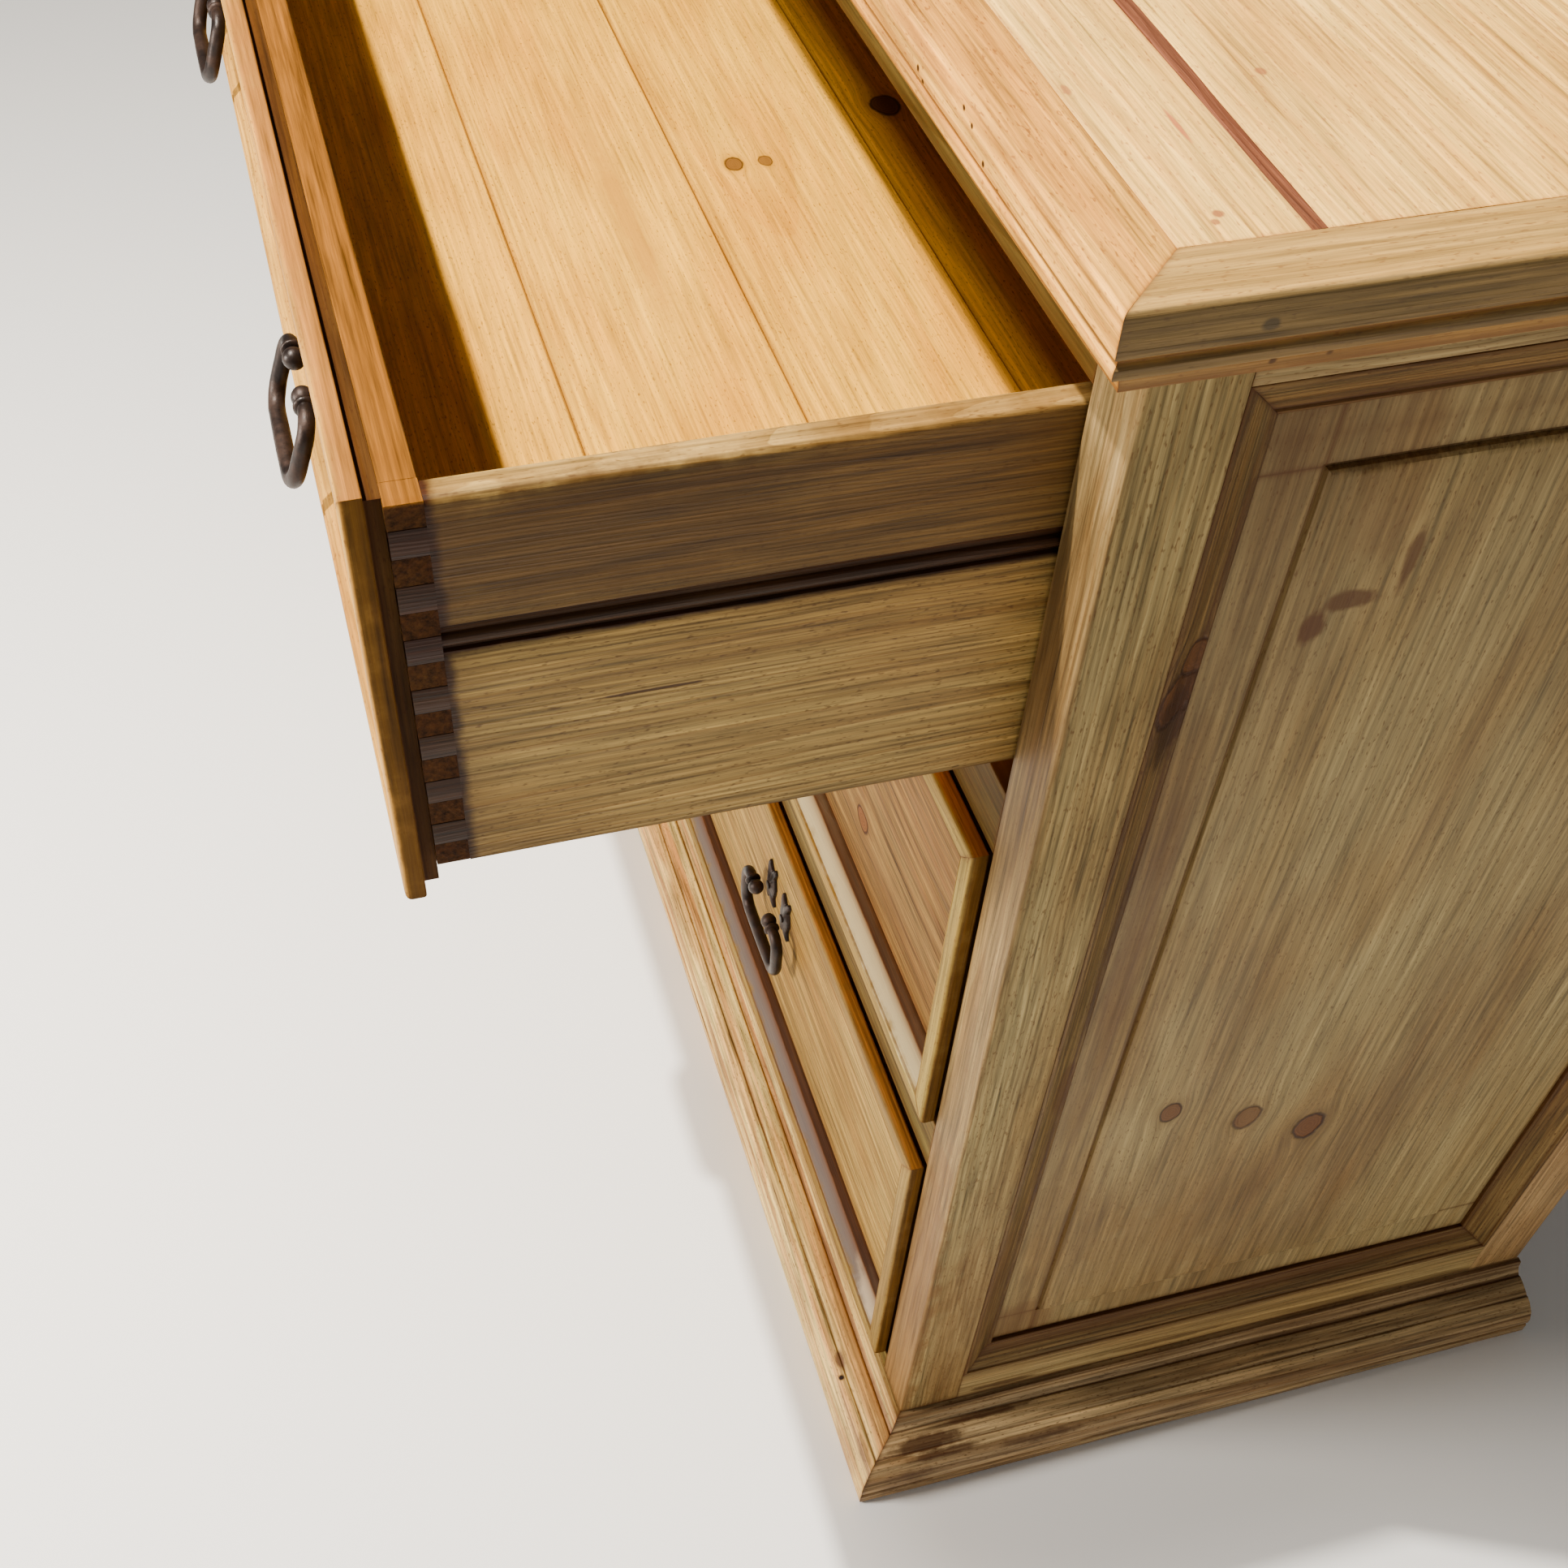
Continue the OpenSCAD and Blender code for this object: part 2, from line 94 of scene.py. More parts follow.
world = bpy.data.worlds.new("studio")
bpy.context.scene.world = world
world.use_nodes = True
background = world.node_tree.nodes["Background"].inputs
background["Color"].default_value = (1.0, 0.97, 0.92, 1.0)
background["Strength"].default_value = 0.13

# ---------------------------------------------------------------- node helpers


class Tree:
    """Short names for adding shader nodes."""

    def __init__(self, tree):
        self.tree = tree

    def put(self, socket, value):
        if isinstance(value, bpy.types.NodeSocket):
            self.tree.links.new(value, socket)
        elif value is not None:
            socket.default_value = value

    def add(self, kind, *values, **settings):
        """A node with these settings and with these values on its first inputs."""
        node = self.tree.nodes.new(kind)
        for key, value in settings.items():
            setattr(node, key, value)
        for socket, value in zip(node.inputs, values):
            self.put(socket, value)
        return node

    def math(self, operation, *values, clamp=False):
        return self.add("ShaderNodeMath", *values, operation=operation, use_clamp=clamp).outputs[0]

    def vmath(self, operation, *values):
        node = self.add("ShaderNodeVectorMath", *values, operation=operation)
        return node.outputs["Value" if operation in ("LENGTH", "DOT_PRODUCT") else "Vector"]

    def noise(self, vector, scale=1.0, detail=2.0, rough=0.5):
        node = self.add("ShaderNodeTexNoise", vector)
        for key, value in (("Scale", scale), ("Detail", detail), ("Roughness", rough)):
            self.put(node.inputs[key], value)
        return node.outputs["Fac"]

    def smooth(self, value, low, high, to_low=0.0, to_high=1.0):
        values = (value, low, high, to_low, to_high)
        return self.add("ShaderNodeMapRange", *values, interpolation_type="SMOOTHSTEP").outputs["Result"]

    def mix(self, factor, a, b, blend="MIX"):
        node = self.add("ShaderNodeMix", factor, data_type="RGBA", blend_type=blend)
        self.put(node.inputs[6], a)
        self.put(node.inputs[7], b)
        return node.outputs[2]

    def xyz(self, *values):
        return self.add("ShaderNodeCombineXYZ", *values).outputs[0]

    def split(self, vector):
        return self.add("ShaderNodeSeparateXYZ", vector).outputs

    def about(self, value, gain, base):
        """The base with a noise added to it, counted from the noise's middle."""
        return self.math("MULTIPLY_ADD", self.math("SUBTRACT", value, 0.5), gain, base)

    def offset(self, point, centre, scale):
        return self.vmath("MULTIPLY", self.vmath("SUBTRACT", point, centre), scale)

    def texture(self, point, scale, **settings):
        return self.noise(self.vmath("MULTIPLY", point, scale), **settings)


def surface(name):
    """A new material with its tree and the inputs of its shader."""
    mat = bpy.data.materials.new(name)
    mat.use_nodes = True
    return mat, Tree(mat.node_tree), mat.node_tree.nodes["Principled BSDF"].inputs


def bumped(t, shader, height, strength, distance):
    node = t.add("ShaderNodeBump")
    t.put(node.inputs["Strength"], strength)
    t.put(node.inputs["Distance"], distance)
    t.put(node.inputs["Height"], height)
    t.put(shader["Normal"], node.outputs[0])


GRAIN_OUTPUTS = ("Late", "Fibre", "Hair", "Patch", "Streak")


def grain_group():
    """Growth rings of a sawn board. The board coordinate is (along, across, through) in metres."""
    tree = bpy.data.node_groups.new("pine_grain", "ShaderNodeTree")
    face = tree.interface
    face.new_socket(name="P", in_out="INPUT", socket_type="NodeSocketVector")
    for name in ("Seed", "PithW", "PithT", "Slope", "Ring", "Wave"):
        face.new_socket(name=name, in_out="INPUT", socket_type="NodeSocketFloat")
    for name in GRAIN_OUTPUTS:
        face.new_socket(name=name, in_out="OUTPUT", socket_type="NodeSocketFloat")
    t = Tree(tree)
    src = t.add("NodeGroupInput").outputs
    out = t.add("NodeGroupOutput").inputs
    along, across, through = t.split(src["P"])[0:3]
    seed = src["Seed"]
    off = t.math("MULTIPLY", seed, 7.31)

    def stretched(a, b):
        return t.xyz(
            t.math("MULTIPLY_ADD", along, a, off), t.math("MULTIPLY_ADD", across, b, seed),
            t.math("MULTIPLY_ADD", through, b, off),
        )

    # the rings wander across the board in long, middling and short waves
    shift = t.about(t.noise(stretched(2.4, 7.0), detail=1.0), 0.034, 0.0)
    for stretch, reach in (((10.0, 30.0), 0.008), ((34.0, 110.0), 0.0016)):
        shift = t.about(t.noise(stretched(*stretch)), t.math("MULTIPLY", src["Wave"], reach), shift)
    w = t.math("ADD", t.math("SUBTRACT", across, src["PithW"]), shift)
    d = t.math("MULTIPLY_ADD", along, src["Slope"], t.math("SUBTRACT", through, src["PithT"]))
    r = t.math("SQRT", t.math("ADD", t.math("MULTIPLY", w, w), t.math("MULTIPLY", d, d)))
    ring = t.math("DIVIDE", r, src["Ring"])
    wander = t.noise(t.xyz(t.math("MULTIPLY", ring, 0.7), seed, off), detail=2.0)
    ring = t.math("MULTIPLY_ADD", wander, 1.5, ring)
    f = t.math("FRACT", ring)
    late = t.math("MULTIPLY", t.smooth(f, 0.3, 0.9), t.smooth(f, 1.0, 0.95))
    depth = t.noise(t.xyz(t.math("FLOOR", ring), seed, 0.0), detail=0.0, scale=3.3)
    late = t.math("MULTIPLY", late, t.smooth(depth, 0.25, 0.7, 0.35, 1.0))
    t.put(out["Late"], late)
    t.put(out["Fibre"], t.noise(stretched(14.0, 900.0), detail=3.0, rough=0.6))
    t.put(out["Hair"], t.noise(stretched(11.0, 360.0), detail=4.0, rough=0.65))
    t.put(out["Streak"], t.noise(stretched(3.0, 130.0), detail=3.0, rough=0.55))
    t.put(out["Patch"], t.noise(stretched(2.6, 9.0), detail=3.0))
    return tree


GRAIN = grain_group()


# Gain in linear red, green and blue on the colours of every wood whose name starts so
TINT = {
    "top_plank": (1.12, 0.97, 0.44), "front_edge": (0.98, 0.74, 0.27), "side_edge": (0.76, 0.64, 0.34),
    "drawer_bottom": (0.98, 0.76, 0.16), "top_panel": (0.4, 0.39, 0.22), "top_face": (0.72, 0.59, 0.27),
    "middle_panel": (0.37, 0.37, 0.23), "middle_face": (0.5, 0.54, 0.28),
    "bottom_panel": (0.48, 0.48, 0.28), "bottom_face": (0.42, 0.43, 0.27), "top_side": (0.84, 0.86, 0.62),
    "front_rail": (0.3, 0.4, 0.3), "front_post": (0.72, 0.82, 0.76), "side_mould": (0.8, 0.84, 0.72),
    # plinth_front's high gain is painted light on the front plinth
    "side_panel": (0.84, 0.93, 0.88), "side_rail": (0.88, 0.98, 0.95), "plinth_front": (1.6, 1.15, 0.74),
    # top_back's low gain darkens the top drawer's back board as painted shade, which also cuts the light
    # bounced into the drawer
    "plinth_side": (0.95, 1.00, 1.05), "top_back": (0.3, 0.28, 0.16),
}
BRIGHTEST = 0.92
KNOT_HEART = (110, 70, 36), (58, 34, 18)
KNOT_RIM = (44, 24, 12)
WARM_TINT = (0.8, 0.66, 0.5, 1.0)


def linear(rgb):
    return tuple(pow(c / 255.0, 2.2) for c in rgb) + (1.0,)


def tinted(name, rgb):
    tint = next((TINT[key] for key in TINT if name.startswith(key)), (1.0, 1.0, 1.0))
    return tuple(min(BRIGHTEST, c * k) for c, k in zip(linear(rgb), tint)) + (1.0,)


def wood(
    name, light, dark, ring=0.006, wave=1.0, contrast=0.6, pith=(0.02, -0.06), slope=0.03, seed=1.0,
    stain=(96, 58, 30), knots=(), lines=(), spots=(), bands=(), patchy=0.25, rough=0.5, bump=0.35,
    fibrous=1.0, shine=0.15, from_object=None,
):
    """Waxed pine. Places are board coordinates: (along, across, through) in metres. Knots are (along,
    across, radius, darkness). Lines are planes with soft sides: (normal, distance, width, strength[,
    raggedness]). Spots are (centre, radii, strength[, colour]). Bands are slabs with a flat strength:
    (normal, from, to, softness, strength[, colour]). Pith is how far the tree's middle is (across,
    through) and ring the width of a growth ring. from_object takes the coordinates from the object's own
    axes in that order, for a piece that keeps its CAD mesh."""
    mat, t, shader = surface(name)
    if from_object is None:
        flat = t.add("ShaderNodeAttribute", attribute_name="board").outputs["Vector"]
    else:
        raw = t.split(t.add("ShaderNodeTexCoord").outputs["Object"])
        flat = t.xyz(*(raw[i] for i in from_object))
    p = flat
    if knots:
        # the grain runs round each knot
        warp = 0.0
        for along, across, radius, _ in knots:
            rel = t.offset(flat, (along, across, 0.0), (0.45 / radius, 0.62 / radius, 0.0))
            near = t.math("EXPONENT", t.math("MULTIPLY", t.vmath("DOT_PRODUCT", rel, rel), -1.0))
            warp = t.math("MULTIPLY_ADD", t.math("MULTIPLY", t.split(rel)[1], near), -1.25 * radius, warp)
        p = t.vmath("ADD", flat, t.xyz(0.0, warp, 0.0))
    grain = t.add("ShaderNodeGroup")
    grain.node_tree = GRAIN
    t.put(grain.inputs["P"], p)
    settings = {"Seed": seed, "PithW": pith[0], "PithT": pith[1], "Slope": slope, "Ring": ring, "Wave": wave}
    for key, value in settings.items():
        grain.inputs[key].default_value = value
    late, fibre, hair, patch, streak = (grain.outputs[k] for k in GRAIN_OUTPUTS)

    # colour of the growth rings, streaks and fibres
    light, dark, stain = tinted(name, light), tinted(name, dark), linear(stain)
    tone = t.mix(t.math("MULTIPLY", late, contrast), light, dark)
    tone = t.mix(t.smooth(streak, 0.35, 0.72, 0.0, 0.9 * contrast), tone, dark)
    tone = t.mix(t.smooth(patch, 0.38, 0.75, 0.0, patchy), tone, stain)
    warm = t.texture(p, (5.0, 16.0, 16.0), detail=2.0)
    tone = t.mix(t.smooth(warm, 0.42, 0.7, 0.0, 0.6), tone, t.mix(1.0, tone, WARM_TINT, "MULTIPLY"))
    shade = t.about(hair, 2.3 * fibrous, t.about(fibre, 0.75, 0.97))
    shade = t.xyz(shade, shade, shade)
    tone = t.mix(1.0, tone, shade, "MULTIPLY")
    flecks = t.texture(p, (260.0, 900.0, 900.0), detail=1.0)
    tone = t.mix(t.smooth(flecks, 0.6, 0.76, 0.0, 0.6), tone, stain)

    # marks; the coarse noise breaks them up and the fine one roughens their edges
    coarse = t.texture(flat, (8.0, 22.0, 22.0), detail=3.0)
    fine = t.texture(flat, (60.0, 60.0, 60.0), detail=4.0, rough=0.6)
    hole = None
    for along, across, radius, darkness in knots:
        rel = t.offset(flat, (along, across, 0.0), (0.72 / radius, 1.0 / radius, 0.0))
        dist = t.about(fine, 0.7, t.vmath("LENGTH", rel))
        tone = t.mix(t.smooth(dist, 2.3, 0.9, 0.0, 0.45 * darkness), tone, t.mix(0.5, dark, stain))
        rings = t.math("FRACT", t.math("MULTIPLY", dist, 4.0))
        heart = t.mix(t.math("MULTIPLY", rings, 0.5), *(linear(c) for c in KNOT_HEART))
        tone = t.mix(t.smooth(dist, 1.08, 0.92, 0.0, darkness), tone, heart)
        rim = t.math("MULTIPLY", t.smooth(dist, 0.8, 0.98), t.smooth(dist, 1.2, 1.0))
        tone = t.mix(t.math("MULTIPLY", rim, 0.8 * darkness), tone, linear(KNOT_RIM))
        hole = rim if hole is None else t.math("MAXIMUM", hole, rim)
    for centre, radii, strength, *colour in spots:
        dist = t.vmath("LENGTH", t.offset(flat, centre, tuple(1.0 / x for x in radii)))
        dist = t.about(streak, 0.8, t.about(fine, 1.1, dist))
        tone = t.mix(t.smooth(dist, 1.1, 0.55, 0.0, strength), tone, linear(colour[0]) if colour else stain)
    for normal, distance, width, strength, *given in lines:
        ragged = given[0] if given else 0.8
        off = t.math("ABSOLUTE", t.math("SUBTRACT", t.vmath("DOT_PRODUCT", flat, normal), distance))
        reach = t.math("MAXIMUM", t.about(coarse, 2.4 * ragged * width, width), 0.15 * width)
        mask = t.math("EXPONENT", t.math("MULTIPLY", t.math("DIVIDE", off, reach), -1.0))
        keep = t.smooth(fine, 0.2, 0.55, 1.0 - 0.5 * ragged, 1.0)
        tone = t.mix(t.math("MULTIPLY", t.math("MULTIPLY", mask, strength), keep, clamp=True), tone, stain)
    for normal, start, end, soft, strength, *colour in bands:
        place = t.about(fine, 3.0 * soft, t.vmath("DOT_PRODUCT", flat, normal))
        inside = t.smooth(place, start - soft, start + soft), t.smooth(place, end + soft, end - soft)
        mask = t.math("MULTIPLY", *inside)
        mask = t.math("MULTIPLY", mask, t.smooth(coarse, 0.15, 0.5, 0.8 * strength, strength))
        tone = t.mix(mask, tone, t.mix(1.0, linear(colour[0]) if colour else stain, shade, "MULTIPLY"))

    t.put(shader["Base Color"], tone)
    t.put(shader["Roughness"], t.math("MULTIPLY_ADD", late, -0.06, t.about(coarse, 0.22, rough)))
    t.put(shader["Specular IOR Level"], shine)
    height = t.math("MULTIPLY_ADD", late, 0.5, t.math("MULTIPLY", fibre, 0.55))
    height = t.math("MULTIPLY_ADD", streak, 0.35, height)
    if hole is not None:
        height = t.math("MULTIPLY_ADD", hole, -1.2, height)
    bumped(t, shader, height, bump, 0.0009)
    return mat


# ---------------------------------------------------------------- mesh helpers


def arc(cx, cy, r, a0, a1, n=5):
    out = []
    for i in range(n + 1):
        a = math.radians(a0 + (a1 - a0) * i / n)
        out.append((cx + r * math.cos(a), cy + r * math.sin(a)))
    return out


def rounded(points, radius, steps=3):
    """A closed outline with each corner rounded; radius is one number or one per corner."""
    out = []
    n = len(points)
    for i, point in enumerate(points):
        r = radius[i] if isinstance(radius, (list, tuple)) else radius
        here = Vector(point)
        before = Vector(points[i - 1])
        after = Vector(points[(i + 1) % n])
        a = before - here
        b = after - here
        if r <= 0 or a.length < 1e-9 or b.length < 1e-9:
            out.append(tuple(here))
            continue
        half = a.angle(b) / 2
        cut = min(r / max(math.tan(half), 1e-4), a.length * 0.48, b.length * 0.48)
        p0 = here + a.normalized() * cut
        p1 = here + b.normalized() * cut
        for k in range(steps + 1):
            u = k / steps
            out.append(tuple(p0 * (1 - u) ** 2 + here * 2 * u * (1 - u) + p1 * u * u))
    return out


def dense(points, most):
    """Adds points so that no side of the outline is longer than most."""
    out = []
    n = len(points)
    for i, point in enumerate(points):
        a = Vector(point)
        b = Vector(points[(i + 1) % n])
        k = max(1, math.ceil((b - a).length / most))
        for j in range(k):
            out.append(tuple(a.lerp(b, j / k)))
    return out


def rect(w0, w1, t0, t1):
    return [(w0, t0), (w1, t0), (w1, t1), (w0, t1)]


def finish_mesh(name, verts, faces, coords, mat, sharp):
    """A smooth-shaded object with hard edges where faces meet at more than the sharp angle in degrees."""
    mesh = bpy.data.meshes.new(name)
    mesh.from_pydata([(x, y + FRAME_Y, z) for x, y, z in verts], [], faces)
    attribute = mesh.attributes.new("board", "FLOAT_VECTOR", "POINT")
    attribute.data.foreach_set("vector", [c for v in coords for c in v])
    mesh.materials.append(mat)
    bm = bmesh.new()
    bm.from_mesh(mesh)
    bmesh.ops.recalc_face_normals(bm, faces=bm.faces)
    for face in bm.faces:
        face.smooth = True
    for edge in bm.edges:
        if len(edge.link_faces) == 2 and edge.calc_face_angle(0.0) > math.radians(sharp):
            edge.smooth = False
    bm.to_mesh(mesh)
    bm.free()
    return link(bpy.data.objects.new(name, mesh))


def skin(rows, n, last=True):
    """Faces of a stack of closed loops of n points: quads between the loops and a cap on each end."""
    faces = [
        (i * n + j, i * n + (j + 1) % n, (i + 1) * n + (j + 1) % n, (i + 1) * n + j)
        for i in range(rows - 1)
        for j in range(n)
    ]
    faces.append(tuple(range(n - 1, -1, -1)))
    if last:
        faces.append(tuple((rows - 1) * n + j for j in range(n)))
    return faces


def swept(
    outline, origin, along, u, v, t0, t1,
    m0=0.0, m1=0.0, seg=0.02, wear=0.00025, seed=0.0, swap=False, mirror=False,
):
    """A length of timber: the outline (p, q) on the axes u and v, swept from t0 to t1. m0 and m1 slant the
    ends by p for mitres. swap exchanges across and through in the board coordinate and mirror flips X."""
    origin, along, u, v = (Vector(x) for x in (origin, along, u, v))
    verts, coords = [], []
    span = t1 - t0
    count = max(2, int(span / seg))
    near = min(0.0015 / span, 0.2 / count)
    stations = [0.0, near] + [i / count for i in range(1, count)] + [1 - near, 1.0]
    for k in stations:
        for p, q in outline:
            start = t0 + m0 * p
            t = start + (t1 + m1 * p - start) * k
            spot = Vector((t * 9.0, p * 60.0 + seed * 3.7, q * 60.0 + seed))
            first = noise.noise(spot) + 0.35 * noise.noise(spot * 4.1)
            second = noise.noise(spot + Vector((31.0, 7.0, 3.0)))
            point = origin + along * t + u * (p + first * wear) + v * (q + second * wear)
            verts.append((-point.x if mirror else point.x, point.y, point.z))
            coords.append((t, q, p) if swap else (t, p, q))
    return verts, skin(len(stations), len(outline)), coords


def piece(node, suffix, body, parts, mat, sharp=38.0, name=None):
    """One object made of (verts, faces, coords) parts. It stands in for a CAD node and rides a body."""
    verts, faces, coords = [], [], []
    for v, f, c in parts:
        base = len(verts)
        verts += v
        coords += c
        faces += [tuple(i + base for i in face) for face in f]
    obj = finish_mesh(name or node + suffix, verts, faces, coords, mat, sharp)
    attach(obj, body)
    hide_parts(node)


def timber(node, suffix, slot, mat, outline, origin, along, u, v, t0, t1, body="case", **more):
    piece(node, suffix, body, [swept(outline, origin, along, u, v, t0, t1, **more)], mat)


X, Y, Z = (1, 0, 0), (0, 1, 0), (0, 0, 1)
BACK_X, FORE_Y, DOWN_Z = (-1, 0, 0), (0, -1, 0), (0, 0, -1)
# Normals of marks in board coordinates
ALONG, ACROSS, THROUGH = X, Y, Z
MITRE = math.sqrt(0.5)
RISING, FALLING = (MITRE, MITRE, 0), (MITRE, -MITRE, 0)
SIDES = (("right", False), ("left", True))


def mm(points):
    return [(a * MM, b * MM) for a, b in points]


# ---------------------------------------------------------------- sizes of the chest, in metres

HALF_W = 0.561
HALF_D = 0.25
PLANK_T = 0.022
PLANK_Z = 0.924
EDGE_Z = 0.911
POST_W = 0.036
POST_D = 0.043
OPEN_HALF = HALF_W - POST_W
RAIL_D = HALF_D - POST_D
PLINTH_H = 0.049
STAIN = (88, 54, 28)

# ---------------------------------------------------------------- top

PLANKS = ((-HALF_D, -0.201), (-0.1955, -0.047), (-0.047, 0.1015), (0.1015, HALF_D))
PLANK_RINGS = (0.0042, 0.005, 0.0046, 0.0052)
PLANK_PITHS = (0.02, -0.03, 0.015, -0.01)
PLANK_SPOTS = (
    [
        ((0.5445, -0.228, 0.022), (0.0028, 0.0022, 0.01), 0.9),
        ((0.549, -0.231, 0.022), (0.0024, 0.002, 0.01), 0.8),
        ((0.487, -0.217, 0.022), (0.014, 0.0012, 0.01), 0.8, (176, 96, 62)),
        ((0.454, -0.246, 0.022), (0.004, 0.0016, 0.01), 0.7),
        ((0.317, -0.225, 0.022), (0.0028, 0.0022, 0.01), 0.6),
    ],
    [
        ((0.457, -0.17, 0.022), (0.0028, 0.0024, 0.01), 0.8),
        ((0.237, -0.15, 0.022), (0.0028, 0.0024, 0.01), 0.8),
    ],
    [], [],
)
for i, (y0, y1) in enumerate(PLANKS):
    mat = wood(
        f"top_plank_{i + 1}_pine", (228, 196, 146), (196, 148, 96), ring=PLANK_RINGS[i], contrast=0.42,
        pith=((y0 + y1) / 2 + PLANK_PITHS[i], -0.05), slope=0.02 * (-1) ** i, seed=3.1 + i * 2.7,
        stain=(150, 92, 56), spots=PLANK_SPOTS[i],
        lines=[
            (ACROSS, y0, 0.0007, 0.75 if i else 0.5), (ACROSS, y1, 0.0007 if i else 0.0016, 0.8),
            (ALONG, HALF_W, 0.0007, 0.6), (ALONG, -HALF_W, 0.0007, 0.6),
        ],
        # painted shade: the underside of each plank is coloured dark, which also cuts the light bounced into
        # the open drawer
        bands=[(THROUGH, -1.0, 0.0015, 0.0004, 0.9, (62, 44, 26))], patchy=0.14, rough=0.46, bump=0.22,
    )
    outline = dense(rounded(rect(y0, y1, 0.0, PLANK_T), [0.0, 0.0, 0.0007, 0.0007]), 0.02)
    place = (outline, (0, 0, PLANK_Z), X, Y, Z, -HALF_W, HALF_W)
    timber(f"top_plank_{i + 1}", "_board", "pine_top", mat, *place, wear=0.00012, seed=i)

mat = wood(
    "joint_filler", (120, 76, 54), (92, 54, 40), ring=0.003, contrast=0.35, seed=9.0, stain=(84, 46, 32),
    patchy=0.5, rough=0.55, bump=0.5,
)
place = (rounded(rect(-0.2014, -0.1951, 0.0, 0.0222), 0.0004), (0, 0, PLANK_Z), X, Y, Z, -HALF_W, HALF_W)
timber("top_joint_filler", "_strip", "filler", mat, *place, wear=0.001, seg=0.004)

edge_outline = dense(
    rounded(
        mm([(0, 0), (24, 0), (25.2, 7.0), (29.0, 8.6), (31.4, 10.4), (31.4, 14.0), (29.6, 16.2), (30.6, 17.6),
            (32.4, 18.8), (32.4, 35), (0, 35)]),
        [0, 0.0008, 0.0012, 0.001, 0.0018, 0.0018, 0.0008, 0.0008, 0.001, 0.0022, 0.0004],
    ),
    0.006,
)
edge_lines = [
    (THROUGH, 0.0164, 0.0009, 0.85, 0.5), (THROUGH, 0.0078, 0.0014, 0.9, 0.5),
    (THROUGH, 0.001, 0.003, 0.8, 0.6), (ACROSS, 0.0, 0.0007, 0.6),
]
DENTS = (0.47, 0.455, 0.441, 0.432, 0.39, 0.384, 0.33, 0.28, 0.26, 0.19, 0.1, -0.05, -0.3)
dent_spots = [
    ((x + 0.017, 0.0325, 0.024 + 0.006 * math.sin(x * 91)), (0.0016, 0.002, 0.0014), 1.0, (52, 30, 16))
    for x in DENTS
]
front_edge_mat = wood(
    "front_edge_pine", (222, 186, 132), (172, 122, 72), ring=0.0052, contrast=0.5, pith=(0.01, -0.03),
    slope=0.012, seed=21.0, stain=(112, 64, 32), fibrous=1.3,
    lines=edge_lines + [(FALLING, HALF_W * MITRE, 0.0008, 0.75)],
    spots=dent_spots
    + [
        ((0.4, 0.031, 0.03), (0.05, 0.004, 0.004), 0.35, (120, 70, 40)),
        ((0.1, 0.031, 0.03), (0.12, 0.004, 0.004), 0.3, (120, 70, 40)),
    ],
    patchy=0.16, rough=0.45,
)
place = (edge_outline, (0, -HALF_D, EDGE_Z), X, FORE_Y, Z, -HALF_W, HALF_W)
timber("top_edge_front", "_moulding", "pine_edge", front_edge_mat, *place, m0=-1, m1=1, wear=0.0002, seed=1)
side_edge_mat = wood(
    "side_edge_pine", (196, 168, 124), (150, 118, 76), ring=0.0038, contrast=0.5, pith=(0.035, -0.02),
    slope=0.01, seed=25.0, stain=(112, 74, 42),
    lines=edge_lines + [(RISING, -HALF_D * MITRE, 0.0008, 0.75)],
    # painted shade: the outer side face of the moulding is coloured a dark grey
    bands=[(ACROSS, 0.0306, 0.05, 0.0006, 0.62, (96, 84, 62))],
    spots=[
        ((-0.229, 0.0325, 0.0245), (0.0036, 0.004, 0.0028), 0.95, (60, 44, 34)),
        ((-0.219, 0.031, 0.0045), (0.002, 0.01, 0.0016), 0.9, (44, 28, 18)),
        ((-0.198, 0.031, 0.0045), (0.002, 0.01, 0.0016), 0.9, (44, 28, 18)),
    ],
    patchy=0.22, rough=0.5,
)
for side, flip in SIDES:
    place = (edge_outline, (HALF_W, 0, EDGE_Z), Y, X, Z, -HALF_D, HALF_D)
    more = {"m0": -1, "wear": 0.0002, "seed": 2, "mirror": flip}
    timber(f"top_edge_{side}", "_moulding", "pine_edge", side_edge_mat, *place, **more)

# ---------------------------------------------------------------- posts, rails and side panels

